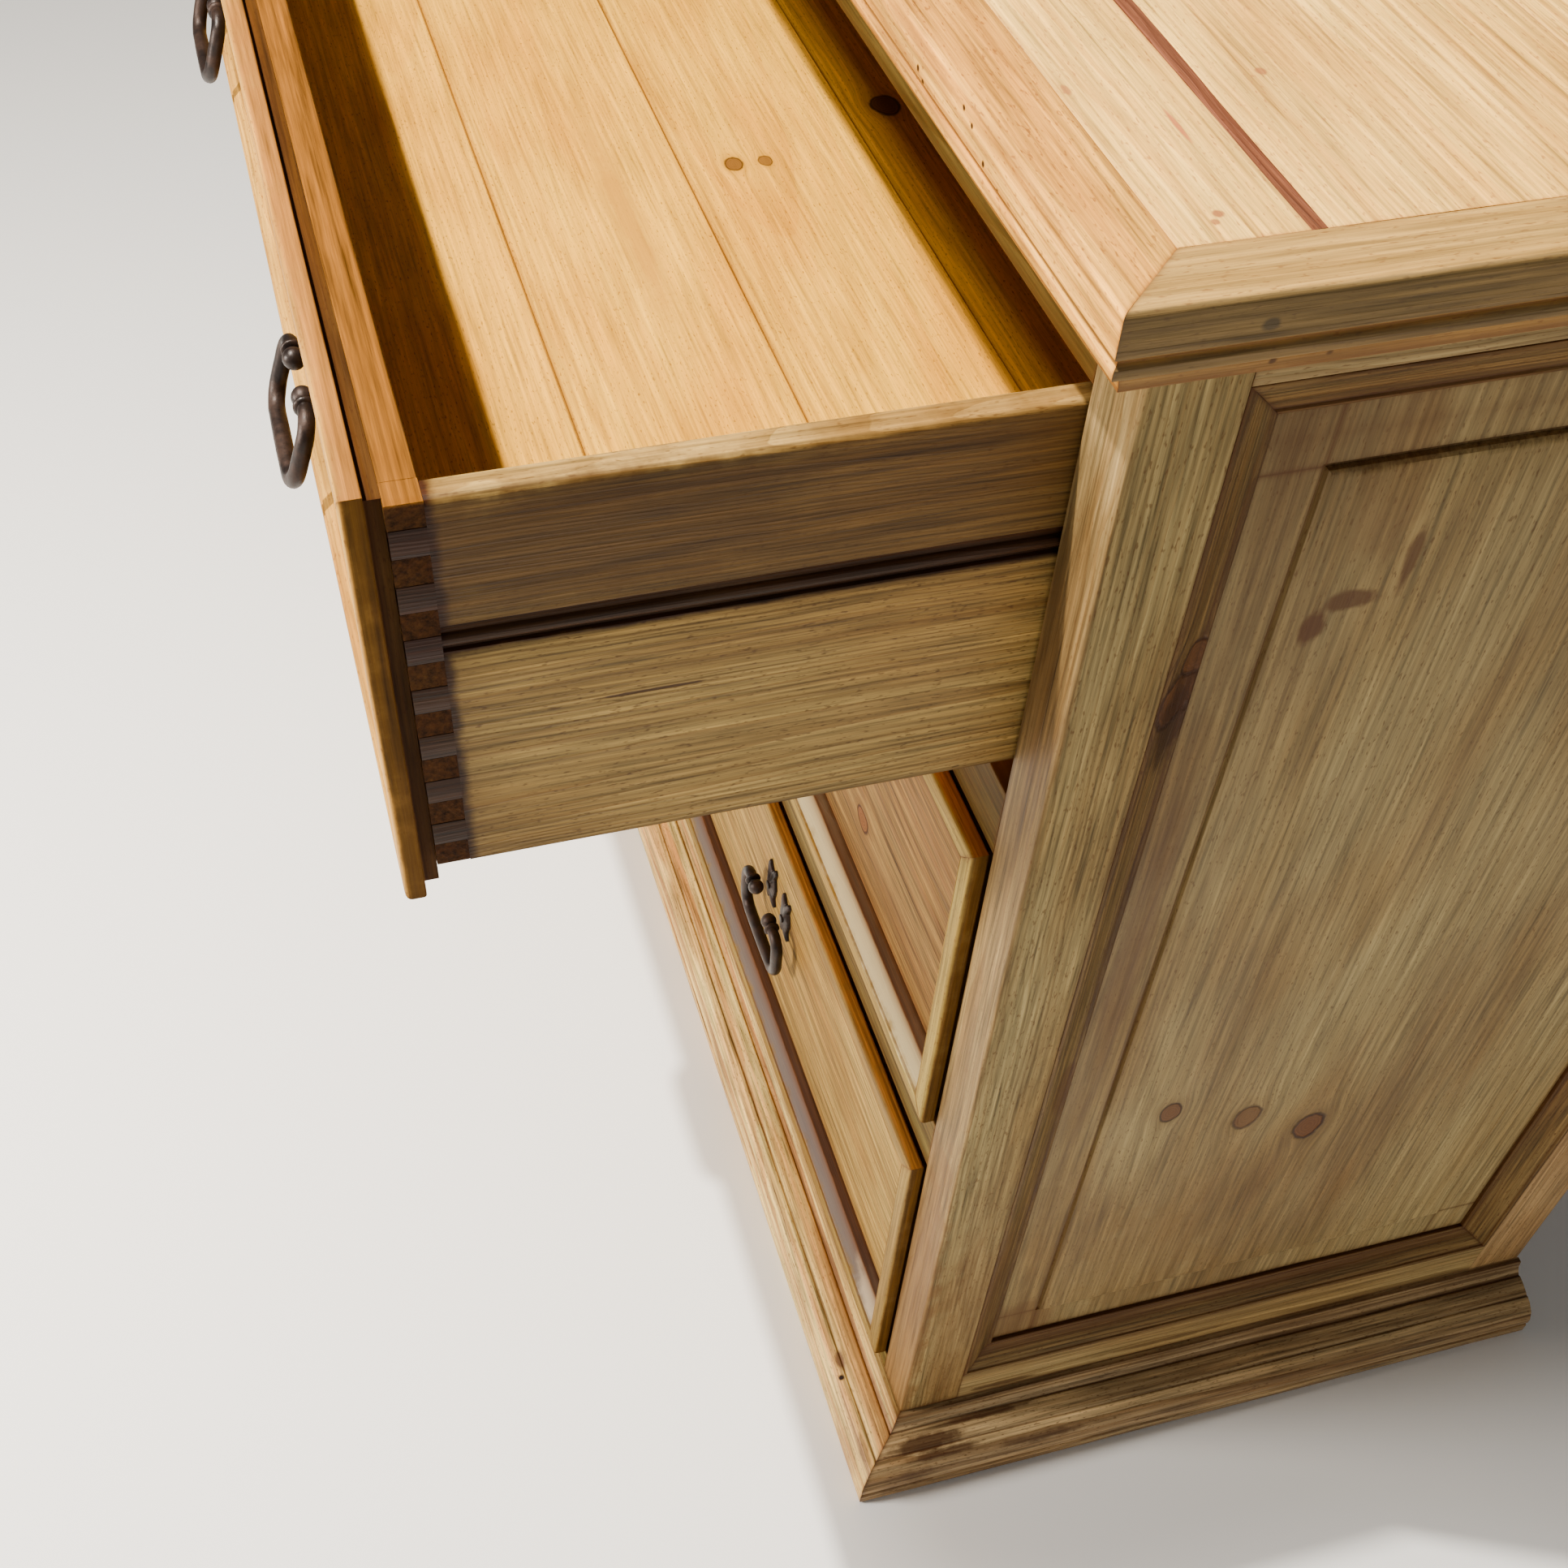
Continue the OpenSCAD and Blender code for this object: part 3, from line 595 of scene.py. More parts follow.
for side, flip in SIDES:
    mat = wood(
        f"front_post_{side}_pine", (190, 158, 110), (118, 84, 46), ring=0.003, wave=2.6, contrast=0.48,
        fibrous=1.4, pith=(0.01, -0.03), slope=0.012, seed=31.0 + flip, stain=STAIN,
        lines=[
            (ALONG, PLINTH_H, 0.002, 0.9), (THROUGH, POST_D, 0.0012, 0.6), (ACROSS, 0.0, 0.001, 0.55),
            (ALONG, EDGE_Z, 0.003, 0.8),
        ],
        spots=[
            ((0.3, 0.03, 0.03), (0.25, 0.02, 0.02), 0.25), ((0.75, 0.02, 0.0), (0.1, 0.02, 0.006), 0.3),
            ((0.12, 0.018, 0.0), (0.3, 0.03, 0.012), 0.6, (112, 76, 40)),
            ((0.15, 0.03, 0.03), (0.16, 0.03, 0.03), 0.3, (112, 76, 40)),
        ],
        bands=[(THROUGH, -1.0, 0.0018, 0.0008, 0.55, (100, 72, 40))], patchy=0.5, rough=0.55, bump=0.4,
        shine=0.08,
    )
    outline = dense(rounded(rect(0.0, POST_W, 0.0, POST_D), [0.0006, 0.0022, 0.0006, 0.0006], 4), 0.008)
    place = (outline, (OPEN_HALF, -HALF_D, 0), Z, X, Y, 0.0, PLANK_Z)
    more = {"wear": 0.0003, "seed": 5 + flip, "mirror": flip}
    timber(f"corner_post_front_{side}", "_board", "pine_side", mat, *place, **more)
    mat = wood(
        f"rear_post_{side}_pine", (176, 144, 98), (120, 88, 52), ring=0.0042, wave=1.6, contrast=0.55,
        pith=(0.02, -0.03), seed=35.0 + flip, stain=STAIN, lines=[(THROUGH, 0.0, 0.001, 0.6)], patchy=0.3,
    )
    # rebated for the back board, with the outer rear edge planed off
    rebate_w, rebate_d, chamfer = 0.018, 0.012, 0.0015
    outline = [
        (0.0, 0.0), (POST_W, 0.0), (POST_W, POST_D - chamfer), (POST_W - chamfer, POST_D),
        (rebate_w, POST_D), (rebate_w, POST_D - rebate_d), (0.0, POST_D - rebate_d),
    ]
    place = (dense(outline, 0.01), (OPEN_HALF, RAIL_D, 0), Z, X, Y, 0.0, PLANK_Z)
    more = {"wear": 0.0002, "seed": 8 + flip, "mirror": flip}
    timber(f"corner_post_rear_{side}", "_board", "pine_side", mat, *place, **more)

SIDE_RAILS = (("top", 0.887, PLANK_Z), ("bottom", 0.02, 0.084))
SIDE_RAIL_T = 0.03
for side, flip in SIDES:
    mat = wood(
        f"side_rail_{side}_pine", (182, 150, 102), (112, 80, 44), ring=0.0036, wave=1.3, contrast=0.55,
        pith=(0.045, -0.03), slope=0.01, seed=41.0 + flip, stain=STAIN,
        lines=[
            (ACROSS, PLINTH_H, 0.0022, 0.9), (ACROSS, 0.084, 0.0014, 0.6), (ACROSS, 0.887, 0.0014, 0.6),
            (ALONG, -RAIL_D, 0.0009, 0.7), (ACROSS, EDGE_Z, 0.002, 0.8),
        ],
        spots=[
            ((-0.17, 0.056, 0.03), (0.03, 0.004, 0.02), 0.8, (70, 42, 22)),
            ((-0.05, 0.06, 0.03), (0.06, 0.003, 0.02), 0.6, (70, 42, 22)),
        ],
        patchy=0.35,
    )
    for level, z0, z1 in SIDE_RAILS:
        outline = dense(rounded(rect(z0, z1, 0.0, SIDE_RAIL_T), [0.0004, 0.0004, 0.0008, 0.0008]), 0.01)
        place = (outline, (HALF_W - SIDE_RAIL_T, 0, 0), Y, Z, X, -RAIL_D, RAIL_D)
        more = {"wear": 0.0002, "seed": 11 + flip, "mirror": flip}
        timber(f"side_rail_{level}_{side}", "_board", "pine_side", mat, *place, **more)

FRONT_RAILS = (
    ("top", 0.871, PLANK_Z), ("upper", 0.61, 0.652), ("lower", 0.3255, 0.3695), ("bottom", 0.02, 0.068),
)
FRONT_RAIL_T = 0.022
for i, (level, z0, z1) in enumerate(FRONT_RAILS):
    rail_lines = [(ACROSS, z0, 0.002, 0.7), (ACROSS, z1, 0.002, 0.7)]
    rail_lines += [(ALONG, OPEN_HALF, 0.0012, 0.7), (ALONG, -OPEN_HALF, 0.0012, 0.7)]
    if level == "bottom":
        rail_lines.append((ACROSS, PLINTH_H, 0.0022, 0.9))
    mat = wood(
        f"front_rail_{level}_pine", (170, 128, 78), (118, 78, 40), ring=0.004, contrast=0.55,
        pith=((z0 + z1) / 2, -0.03), seed=45.0 + i * 1.9, stain=STAIN, lines=rail_lines, patchy=0.35,
        rough=0.6, shine=0.04,
    )
    outline = dense(rounded(rect(z0, z1, 0.0, FRONT_RAIL_T), [0.0004, 0.0004, 0.001, 0.001]), 0.012)
    place = (outline, (0, -HALF_D + FRONT_RAIL_T, 0), X, Z, FORE_Y, -OPEN_HALF, OPEN_HALF)
    timber(f"front_rail_{level}", "_board", "pine_rail", mat, *place, wear=0.0002, seed=14 + i)

SIDE_MID = 0.4855
SIDE_HALF_H = 0.4015
SIDE_SUNK = 0.013
MOULD_W = 0.022
mould_outline = dense(
    rounded(
        mm([(0, 0), (0, 13), (2.4, 13), (3.2, 11.6), (5.0, 11.0), (9.0, 8.4), (14.5, 4.6), (19.0, 2.8),
            (20.4, 3.4), (21.9, 2.6), (21.9, 0)]),
        [0, 0.0005, 0.0008, 0.0005, 0.001, 0.002, 0.002, 0.0006, 0.0008, 0.0008, 0],
    ),
    0.004,
)
mould_lines = [
    (ACROSS, 0.0, 0.0012, 0.85, 0.5), (ACROSS, 0.0029, 0.0007, 0.7, 0.4),
    (ACROSS, 0.0188, 0.0009, 0.75, 0.4), (ACROSS, MOULD_W, 0.0012, 0.9, 0.4),
]
MOULD_SPOTS = {
    "front": [
        ((0.225, 0.014, 0.005), (0.035, 0.012, 0.02), 0.8, (54, 32, 18)),
        ((-0.06, 0.018, 0.005), (0.03, 0.01, 0.02), 0.5, (84, 50, 28)),
        ((-0.28, 0.008, 0.01), (0.09, 0.01, 0.02), 0.4, (84, 50, 28)),
    ],
    "bottom": [((0.0, 0.016, 0.0), (0.5, 0.006, 0.03), 0.5, (92, 60, 34))],
}
MOULD_KNOTS = {("front", "right"): [(0.2425, 0.012, 0.011, 1.0), (0.262, 0.017, 0.007, 0.9)]}
for side, flip in SIDES:
    x = HALF_W - SIDE_SUNK
    for place, origin, along, u, half in (
        ("front", (x, -RAIL_D, SIDE_MID), Z, Y, SIDE_HALF_H),
        ("rear", (x, RAIL_D, SIDE_MID), Z, FORE_Y, SIDE_HALF_H),
        ("top", (x, 0, SIDE_MID + SIDE_HALF_H), Y, DOWN_Z, RAIL_D),
        ("bottom", (x, 0, SIDE_MID - SIDE_HALF_H), Y, Z, RAIL_D),
    ):
        ends = [(RISING, half * MITRE, 0.001, 0.85, 0.4), (FALLING, -half * MITRE, 0.001, 0.85, 0.4)]
        mat = wood(
            f"side_mould_{place}_{side}_pine", (146, 116, 76), (92, 64, 36), ring=0.0026, wave=1.6,
            contrast=0.6, pith=(0.03, -0.015), slope=0.01, seed=51.0 + len(place) + 3 * flip,
            stain=(74, 44, 22), fibrous=1.3, lines=mould_lines + ends,
            knots=MOULD_KNOTS.get((place, side), []), spots=MOULD_SPOTS.get(place, []), patchy=0.6,
            shine=0.1,
        )
        run = (mould_outline, origin, along, u, X, -half, half)
        more = {"m0": 1, "m1": -1, "wear": 0.00025, "seed": 20 + len(place), "mirror": flip}
        timber(f"side_moulding_{side}", f"_{place}", "pine_side", mat, *run, **more)


def panel_data(half_w, half_h, back, steps, mirror, x_face):
    """An upright panel across Y and Z: nested rectangles at each (inset, rise), closed at the back."""
    verts, coords = [], []
    rings = [(0.0, -back)] + list(steps)
    cuts = 14
    for inset, rise in rings:
        a = half_w - inset
        b = half_h - inset
        for y0, z0, y1, z1 in ((-a, -b, a, -b), (a, -b, a, b), (a, b, -a, b), (-a, b, -a, -b)):
            for k in range(cuts):
                y = y0 + (y1 - y0) * k / cuts
                z = z0 + (z1 - z0) * k / cuts
                wob = noise.noise(Vector((y * 12, z * 5, rise * 400))) * 0.0003
                x = x_face + rise + (wob if rise > -0.005 else 0.0)
                verts.append(((-x if mirror else x), y, z + SIDE_MID))
                coords.append((z + SIDE_MID, y, rise))
    n = cuts * 4
    faces = skin(len(rings), n, last=False)
    # the field's middle, fanned to the last ring
    last = (len(rings) - 1) * n
    top = steps[-1][1]
    faces += [(last + j, last + (j + 1) % n, len(verts)) for j in range(n)]
    verts.append((-x_face - top if mirror else x_face + top, 0.0, SIDE_MID))
    coords.append((SIDE_MID, 0.0, top))
    return verts, faces, coords


# From the housed edge of the panel: flat margin, groove, and the rounded edge of the raised field
HOUSED = 0.0079
MARGIN = 0.008 + MOULD_W + 0.031
STEPS = [(0.0, 0.0)] + [
    (MARGIN + inset * MM, rise * MM)
    for inset, rise in ((-2.2, 0), (-1.2, -1.3), (-0.2, -1.3), (0.4, 1.2), (1.8, 2.4), (4.2, 2.9), (30, 3))
]
FIELD_Y = RAIL_D - 0.053
FIELD_Z = SIDE_HALF_H - 0.053
GROOVE = 0.001
panel_lines = [
    # groove round the field
    (ACROSS, -FIELD_Y - GROOVE, 0.001, 0.9, 0.4), (ACROSS, FIELD_Y + GROOVE, 0.001, 0.9, 0.4),
    (ALONG, SIDE_MID + FIELD_Z + GROOVE, 0.0012, 0.9, 0.4),
    (ALONG, SIDE_MID - FIELD_Z - GROOVE, 0.0012, 0.9, 0.4),
    # foot of the moulding
    (ACROSS, -RAIL_D + MOULD_W, 0.003, 0.6), (ACROSS, RAIL_D - MOULD_W, 0.003, 0.6),
    (ALONG, SIDE_MID + SIDE_HALF_H - MOULD_W, 0.003, 0.7),
    (ALONG, SIDE_MID - SIDE_HALF_H + MOULD_W, 0.003, 0.8),
    # darker bands on the margin along the front and top mouldings and on the field's front edge
    (ACROSS, -FIELD_Y - 0.016, 0.009, 0.38, 1.2), (ALONG, SIDE_MID + FIELD_Z + 0.016, 0.009, 0.38, 1.2),
    (ACROSS, -FIELD_Y + 0.012, 0.006, 0.25, 1.2),
]
for side, flip in SIDES:
    mat = wood(
        f"side_panel_{side}_pine", (170, 142, 98), (128, 98, 58), ring=0.0095, wave=0.8, contrast=0.34,
        pith=(0.03, -0.095), slope=0.035, seed=61.0 + 4 * flip, stain=(86, 54, 28),
        knots=[
            (0.37, -0.111, 0.0065, 0.9), (0.344, -0.054, 0.0085, 0.75), (0.314, -0.004, 0.01, 1.0),
            (0.62, 0.07, 0.009, 0.9),
        ],
        lines=panel_lines,
        spots=[
            ((0.752, -0.137, 0.0), (0.012, 0.006, 0.1), 0.85, (84, 50, 26)),
            ((0.764, -0.122, 0.0), (0.006, 0.014, 0.1), 0.8, (84, 50, 26)),
            ((0.782, -0.1, 0.0), (0.02, 0.004, 0.1), 0.75, (84, 50, 26)),
            ((0.83, -0.12, 0.0), (0.05, 0.02, 0.1), 0.35, (110, 74, 40)),
            ((0.55, -0.17, 0.0), (0.12, 0.012, 0.1), 0.35, (96, 62, 34)),
            ((0.18, -0.09, 0.0), (0.1, 0.05, 0.1), 0.35, (112, 80, 40)),
            ((0.12, -0.17, 0.0), (0.04, 0.03, 0.1), 0.5, (96, 62, 34)),
        ],
        patchy=0.55, rough=0.48, bump=0.3,
    )
    shape = panel_data(RAIL_D + HOUSED, SIDE_HALF_H + HOUSED, 0.012, STEPS, flip, HALF_W - SIDE_SUNK)
    piece(f"side_panel_{side}", "_board", "case", [shape], mat, 30.0)

# ---------------------------------------------------------------- plinth

plinth_outline = dense(
    rounded(
        mm([(0, 0), (38.2, 0), (39.3, 1.4), (39.3, 9.6), (37.6, 11), (38.8, 12.6), (38.9, 18.5), (36, 25),
            (30.6, 29.8), (26, 31.8), (24.8, 31.2), (23.4, 32.6), (17, 35.4), (11, 37.2), (9.6, 36.4),
            (7.4, 38.6), (5.2, 42.4), (4.2, 48.6), (0, 48.8)]),
        [0, 0.0006, 0.001, 0.001, 0.0006, 0.001, 0.004, 0.004, 0.003, 0.0008, 0.0004, 0.0008, 0.003, 0.001,
         0.0004, 0.001, 0.002, 0.0008, 0],
    ),
    0.004,
)
plinth_lines = [
    (ACROSS, 0.037, 0.0012, 0.5, 0.6), (ACROSS, 0.0248, 0.0008, 0.75, 0.6),
    (ACROSS, 0.0096, 0.001, 0.8, 0.6), (ACROSS, 0.0035, 0.0035, 0.7, 0.5),
]
# painted light: the front plinth is a lighter copy of the side plinth's wood, and its gain in TINT brightens
# it further
front_plinth_mat = wood(
    "plinth_front_pine", (236, 204, 154), (150, 98, 56), ring=0.0046, wave=1.6, contrast=0.62,
    pith=(0.012, -0.02), slope=0.006, seed=71.0, stain=(96, 52, 26), fibrous=1.6,
    lines=plinth_lines + [(FALLING, HALF_W * MITRE, 0.0012, 0.85)],
    spots=[
        ((0.504, 0.026, 0.03), (0.01, 0.005, 0.02), 0.9, (96, 66, 46)),
        ((0.517, 0.029, 0.03), (0.003, 0.003, 0.02), 1.0, (40, 24, 16)),
        ((0.574, 0.03, 0.02), (0.02, 0.004, 0.02), 0.6, (84, 50, 28)),
        ((0.477, 0.012, 0.03), (0.12, 0.006, 0.02), 0.45, (120, 76, 42)),
        ((0.567, 0.037, 0.01), (0.03, 0.01, 0.012), 0.5, (130, 84, 54)),
    ],
    patchy=0.2, rough=0.44, bump=0.5,
)
place = (plinth_outline, (0, -HALF_D, 0), X, FORE_Y, Z, -HALF_W, HALF_W)
more = {"m0": -1, "m1": 1, "wear": 0.0004, "seed": 31}
timber("plinth_front", "_moulding", "pine_plinth", front_plinth_mat, *place, **more)
side_plinth_mat = wood(
    "plinth_side_pine", (202, 168, 118), (116, 82, 48), ring=0.0042, wave=1.4, contrast=0.66,
    pith=(0.016, -0.02), slope=0.006, seed=75.0, stain=(74, 44, 24), fibrous=1.5,
    lines=plinth_lines + [(RISING, -HALF_D * MITRE, 0.0012, 0.9)],
    spots=[
        ((-0.235, 0.02, 0.03), (0.03, 0.006, 0.02), 0.85, (66, 38, 22)),
        ((-0.225, 0.03, 0.02), (0.03, 0.003, 0.02), 0.8, (66, 38, 22)),
        ((-0.19, 0.012, 0.03), (0.05, 0.003, 0.02), 0.8, (66, 38, 22)),
        ((-0.15, 0.034, 0.02), (0.05, 0.003, 0.02), 0.7, (66, 38, 22)),
        ((-0.255, 0.036, 0.01), (0.03, 0.004, 0.02), 0.6, (66, 38, 22)),
        ((-0.05, 0.02, 0.03), (0.1, 0.003, 0.02), 0.2, (76, 46, 26)),
    ],
    patchy=0.22, rough=0.5, bump=0.5,
)
for side, flip in SIDES:
    place = (plinth_outline, (HALF_W, 0, 0), Y, X, Z, -HALF_D, HALF_D)
    more = {"m0": -1, "wear": 0.0004, "seed": 33, "mirror": flip}
    timber(f"plinth_{side}", "_moulding", "pine_plinth", side_plinth_mat, *place, **more)

# ---------------------------------------------------------------- plain inner parts keep their CAD shape

RUNNERS = ("runners_top", "runners_middle", "runners_bottom", "kickers_top")
for nodes, order, light, dark, seed in (
    (("back_panel",), (2, 0, 1), (168, 128, 80), (124, 86, 48), 81.0),
    (("floor_panel",), (0, 1, 2), (176, 134, 84), (130, 90, 50), 83.0),
    # painted shade: the runners and the kicker are coloured darker, which also cuts the light bounced into
    # the open drawer
    (RUNNERS, (1, 2, 0), (104, 74, 42), (76, 52, 28), 85.0),
):
    mat = wood(
        f"{nodes[0]}_pine", light, dark, contrast=0.55, pith=(0.1, -0.12), seed=seed, stain=STAIN,
        patchy=0.3, rough=0.62, from_object=order,
    )
    for node in nodes:
        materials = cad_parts[node].data.materials
        materials.clear()
        materials.append(mat)

# ---------------------------------------------------------------- iron


def iron_material():
    mat, t, shader = surface("wrought_iron")
    p = t.add("ShaderNodeTexCoord").outputs["Object"]
    coarse = t.noise(p, 90.0, 4.0, 0.6)
    fine = t.noise(p, 620.0, 3.0, 0.6)
    tone = t.mix(t.smooth(coarse, 0.35, 0.68), linear((34, 27, 25)), linear((54, 39, 32)))
    tone = t.mix(t.smooth(fine, 0.52, 0.74, 0.0, 0.6), tone, linear((28, 22, 20)))
    t.put(shader["Base Color"], tone)
    t.put(shader["Metallic"], 0.55)
    t.put(shader["Roughness"], t.smooth(coarse, 0.3, 0.7, 0.36, 0.58))
    bumped(t, shader, t.math("ADD", coarse, t.math("MULTIPLY", fine, 0.4)), 0.5, 0.0006)
    return mat


IRON = iron_material()
IRON_SHARP = 60.0


def tube_data(points, radii, around=18, seed=0.0, rough=0.00012):
    """A closed tube along the points with a radius at each."""
    points = [Vector(p) for p in points]
    verts = []
    normal = None
    n = len(points)
    for i, point in enumerate(points):
        tangent = (points[min(i + 1, n - 1)] - points[max(i - 1, 0)]).normalized()
        if normal is None:
            normal = tangent.orthogonal().normalized()
        normal = (normal - tangent * normal.dot(tangent)).normalized()
        other = tangent.cross(normal)
        for k in range(around):
            a = 2 * math.pi * k / around
            out = normal * math.cos(a) + other * math.sin(a)
            spot = point + out * radii[i]
            dent = noise.noise(spot * 160.0 + Vector((seed, 0, 0))) * rough
            verts.append(tuple(point + out * (radii[i] + dent)))
    return verts, skin(n, around), [(0.0, 0.0, 0.0)] * len(verts)


def plate_data(centre, seed):
    """A wrought fishtail plate, bulged in the middle, with its back on the drawer panel."""
    half = [(0, 14.5), (2.4, 17), (5.2, 20.4), (7.4, 20.8), (8.6, 18.4), (7.4, 14.4), (6.4, 10.6), (7.4, 7),
            (8.8, 3.4), (9.2, 0)]
    right = half + [(x, -z) for x, z in reversed(half[:-1])]
    corners = right + [(-x, z) for x, z in reversed(right[1:-1])]
    outline = dense(rounded(mm(corners), 0.0012, 2), 0.0014)
    outline = [(x + 0.0004 * noise.noise(Vector((z * 200, seed, x * 90))), z) for x, z in outline]
    verts = []
    # each ring is the outline at this size and this height in mm above the panel
    rings = ((1.0, 0.0), (1.0, 2.0), (0.94, 2.8), (0.8, 3.4), (0.55, 4.0), (0.3, 4.5), (0.12, 4.7))
    for size, height in rings:
        for x, z in outline:
            bump = 0.3 * noise.noise(Vector((x * 300 * size, z * 300 * size, seed + 5))) if height else 0.0
            verts.append((centre[0] + x * size, centre[1] - (height + bump) * MM, centre[2] + z * size))
    return verts, skin(len(rings), len(outline)), [(0.0, 0.0, 0.0)] * len(verts)


def ball_data(centre, radius, seed):
    """A forged ball as rings round the X axis."""
    points, radii = [], []
    for k in range(13):
        a = math.pi * (k / 12 * 0.94 + 0.03)
        points.append((centre[0] - radius * math.cos(a), centre[1], centre[2]))
        radii.append(radius * math.sin(a))
    return tube_data(points, radii, 20, seed, 0.0002)


EYE_OUT = 0.0145
EYE_HALF = 0.0175
BALL_R = 0.006
DROP = 0.0395
ROD = 0.0046
PIN_R = 0.0024
COLLAR_X = EYE_HALF + BALL_R + 0.0005
# The bail's collar, beside the ball: (distance from the collar's inner face, radius) in mm
COLLAR = ((0.1, 5.4), (0.8, 6.0), (2.2, 6.0), (3.0, 5.0), (3.4, 4.1))
NECK_X = COLLAR_X + 0.003 + 0.0025
NECK_R = 0.0042
ELBOW = 0.011
CORNER = 0.013
LEG_X = NECK_X + ELBOW


def bail_half():
    """Centre line and radius of half a bail, from its pin end to near the middle of the bar."""
    path = [((EYE_HALF - 0.003, 0.0), PIN_R), ((COLLAR_X, 0.0), PIN_R)]
    path += [((COLLAR_X + x * MM, 0.0), r * MM) for x, r in COLLAR]
    path.append(((NECK_X, 0.0), NECK_R))
    elbow = arc(NECK_X, -ELBOW, ELBOW, 90, 0, 9)
    path += [(point, ROD * (0.93 + 0.07 * k / 9)) for k, point in enumerate(elbow) if k]
    low = CORNER - DROP
    path += [((LEG_X, -ELBOW + (low + ELBOW) * k / 5), ROD) for k in range(1, 5)]
    path += [(point, ROD) for point in arc(LEG_X - CORNER, low, CORNER, 0, -90, 9)]
    path += [(((LEG_X - CORNER) * (1 - k / 5), -DROP), ROD * (1.0 + 0.05 * k / 5)) for k in range(1, 5)]
    return path


# ---------------------------------------------------------------- drawers

PANEL_Y = -HALF_D + 0.0065
BOARD_T = 0.0143
SIDE_T = 0.014
FACE_HALF = OPEN_HALF - 0.0025
INNER = FACE_HALF - SIDE_T
BOX_L = 0.4435
FINGER = 0.0127
STRIP = 0.0135
LEDGE = 0.0145
TOP_OPEN = 0.2705
# Joints between the bottom boards, from the front of the drawer
BOTTOM_JOINTS = (0.121, 0.2415, 0.362)
BOTTOM_T = 0.009
SLOT_Z = 0.007
SLOT_D = 0.006
LIP_MM = STRIP / MM
FOOT_MM = (STRIP + LEDGE) / MM

strip_outline = dense(
    rounded(
        mm([(0, 6.5), (0, 15.7), (LIP_MM - 1.2, 15.7), (LIP_MM - 0.5, 14.2), (LIP_MM + 0.5, 14.2),
            (LIP_MM + 1.2, 14.9), (FOOT_MM - 1.0, 1.6), (FOOT_MM, 0.0), (5, 0), (5, 6.5)]),
        [0.0012, 0.003, 0.0008, 0.0004, 0.0004, 0.0008, 0.001, 0, 0, 0], 4,
    ),
    0.004,
)


class Drawer:
    """Places and colours of one drawer. y is the front of its panel and low to high the panel's height."""

    def __init__(self, name, seed, z0, z1, open_by, eye_z, pull_x, swing, face, panel, ledge):
        self.name, self.seed, self.z0, self.z1 = name, seed, z0, z1
        self.eye_z, self.pull_x, self.swing = eye_z, pull_x, math.radians(swing)
        self.face, self.panel, self.ledge = face, panel, ledge
        self.body = f"{name}_drawer"
        self.y = PANEL_Y - open_by
        self.low, self.high = z0 + 0.019, z1 - 0.005
        self.mid, self.half_h = (z0 + z1) / 2, (z1 - z0) / 2

    def fingers(self, odd):
        """Bottom and top of every second finger of the corner joint."""
        count = int((self.high - self.low) / FINGER) + 1
        for i in range(odd, count, 2):
            start = self.low + i * FINGER
            end = min(start + FINGER, self.high)
            if end - start >= 0.001:
                yield start, end


DRAWERS = (
    Drawer("top", 1.0, 0.654, 0.867, TOP_OPEN, 0.717, 0.2185, 20.0,
           (222, 184, 124), ((206, 168, 112), (160, 116, 66)), None),
    Drawer("middle", 2.0, 0.372, 0.607, 0.0, 0.482, 0.213, 0.0,
           (204, 170, 116), ((190, 150, 104), (136, 92, 54)), (196, 182, 142)),
    Drawer("bottom", 3.0, 0.07, 0.32, 0.0, 0.21, 0.208, 0.0,
           (204, 168, 112), ((206, 170, 120), (170, 126, 78)), (104, 98, 98)),
)


def bottom_materials():
    """Woods of the four bottom boards, with their marks where the top drawer stands at rest."""
    front = PANEL_Y - TOP_OPEN
    edges = [front + e for e in (0.0083, *BOTTOM_JOINTS, BOX_L)]
    knots = {
        2: [(0.0144, front + 0.2735, 0.0055, 0.85), (0.0144, front + 0.2935, 0.0042, 0.75)],
        3: [(-0.035, front + 0.3885, 0.009, 1.0)],
    }
    flame = (0.067, front + 0.195, 0.0)
    outer, inner = ((0.15, 0.014, 0.1), 0.55, (196, 140, 46)), ((0.1, 0.006, 0.1), 0.5, (186, 126, 40))
    spots = {1: [(flame, *outer), (flame, *inner)]}
    # ring width, pith across and through, slope
    cuts = (
        (0.011, 0.06 + 0.03, -0.13, 0.03), (0.012, 0.18 + 0.012, -0.1, 0.035),
        (0.01, 0.3 - 0.02, -0.09, 0.05), (0.011, 0.4 + 0.02, -0.1, 0.04),
    )
    return [
        wood(
            f"drawer_bottom_{i + 1}_pine", (232, 192, 124), (206, 156, 88), ring=ring, wave=0.8,
            contrast=0.36, pith=(front + across, through), slope=slope, seed=91.0 + i * 1.7,
            stain=(104, 62, 22), fibrous=0.7,
            lines=[
                (ACROSS, edges[i], 0.0009, 0.95, 0.2), (ACROSS, edges[i + 1], 0.0009, 0.95, 0.2),
                (ACROSS, edges[i] + 0.005, 0.0008, 0.35, 0.4),
            ],
            knots=knots.get(i, []), spots=spots.get(i, []), patchy=0.05, rough=0.42, bump=0.15,
        )
        for i, (ring, across, through, slope) in enumerate(cuts)
    ]


BOTTOM_WOODS = bottom_materials()


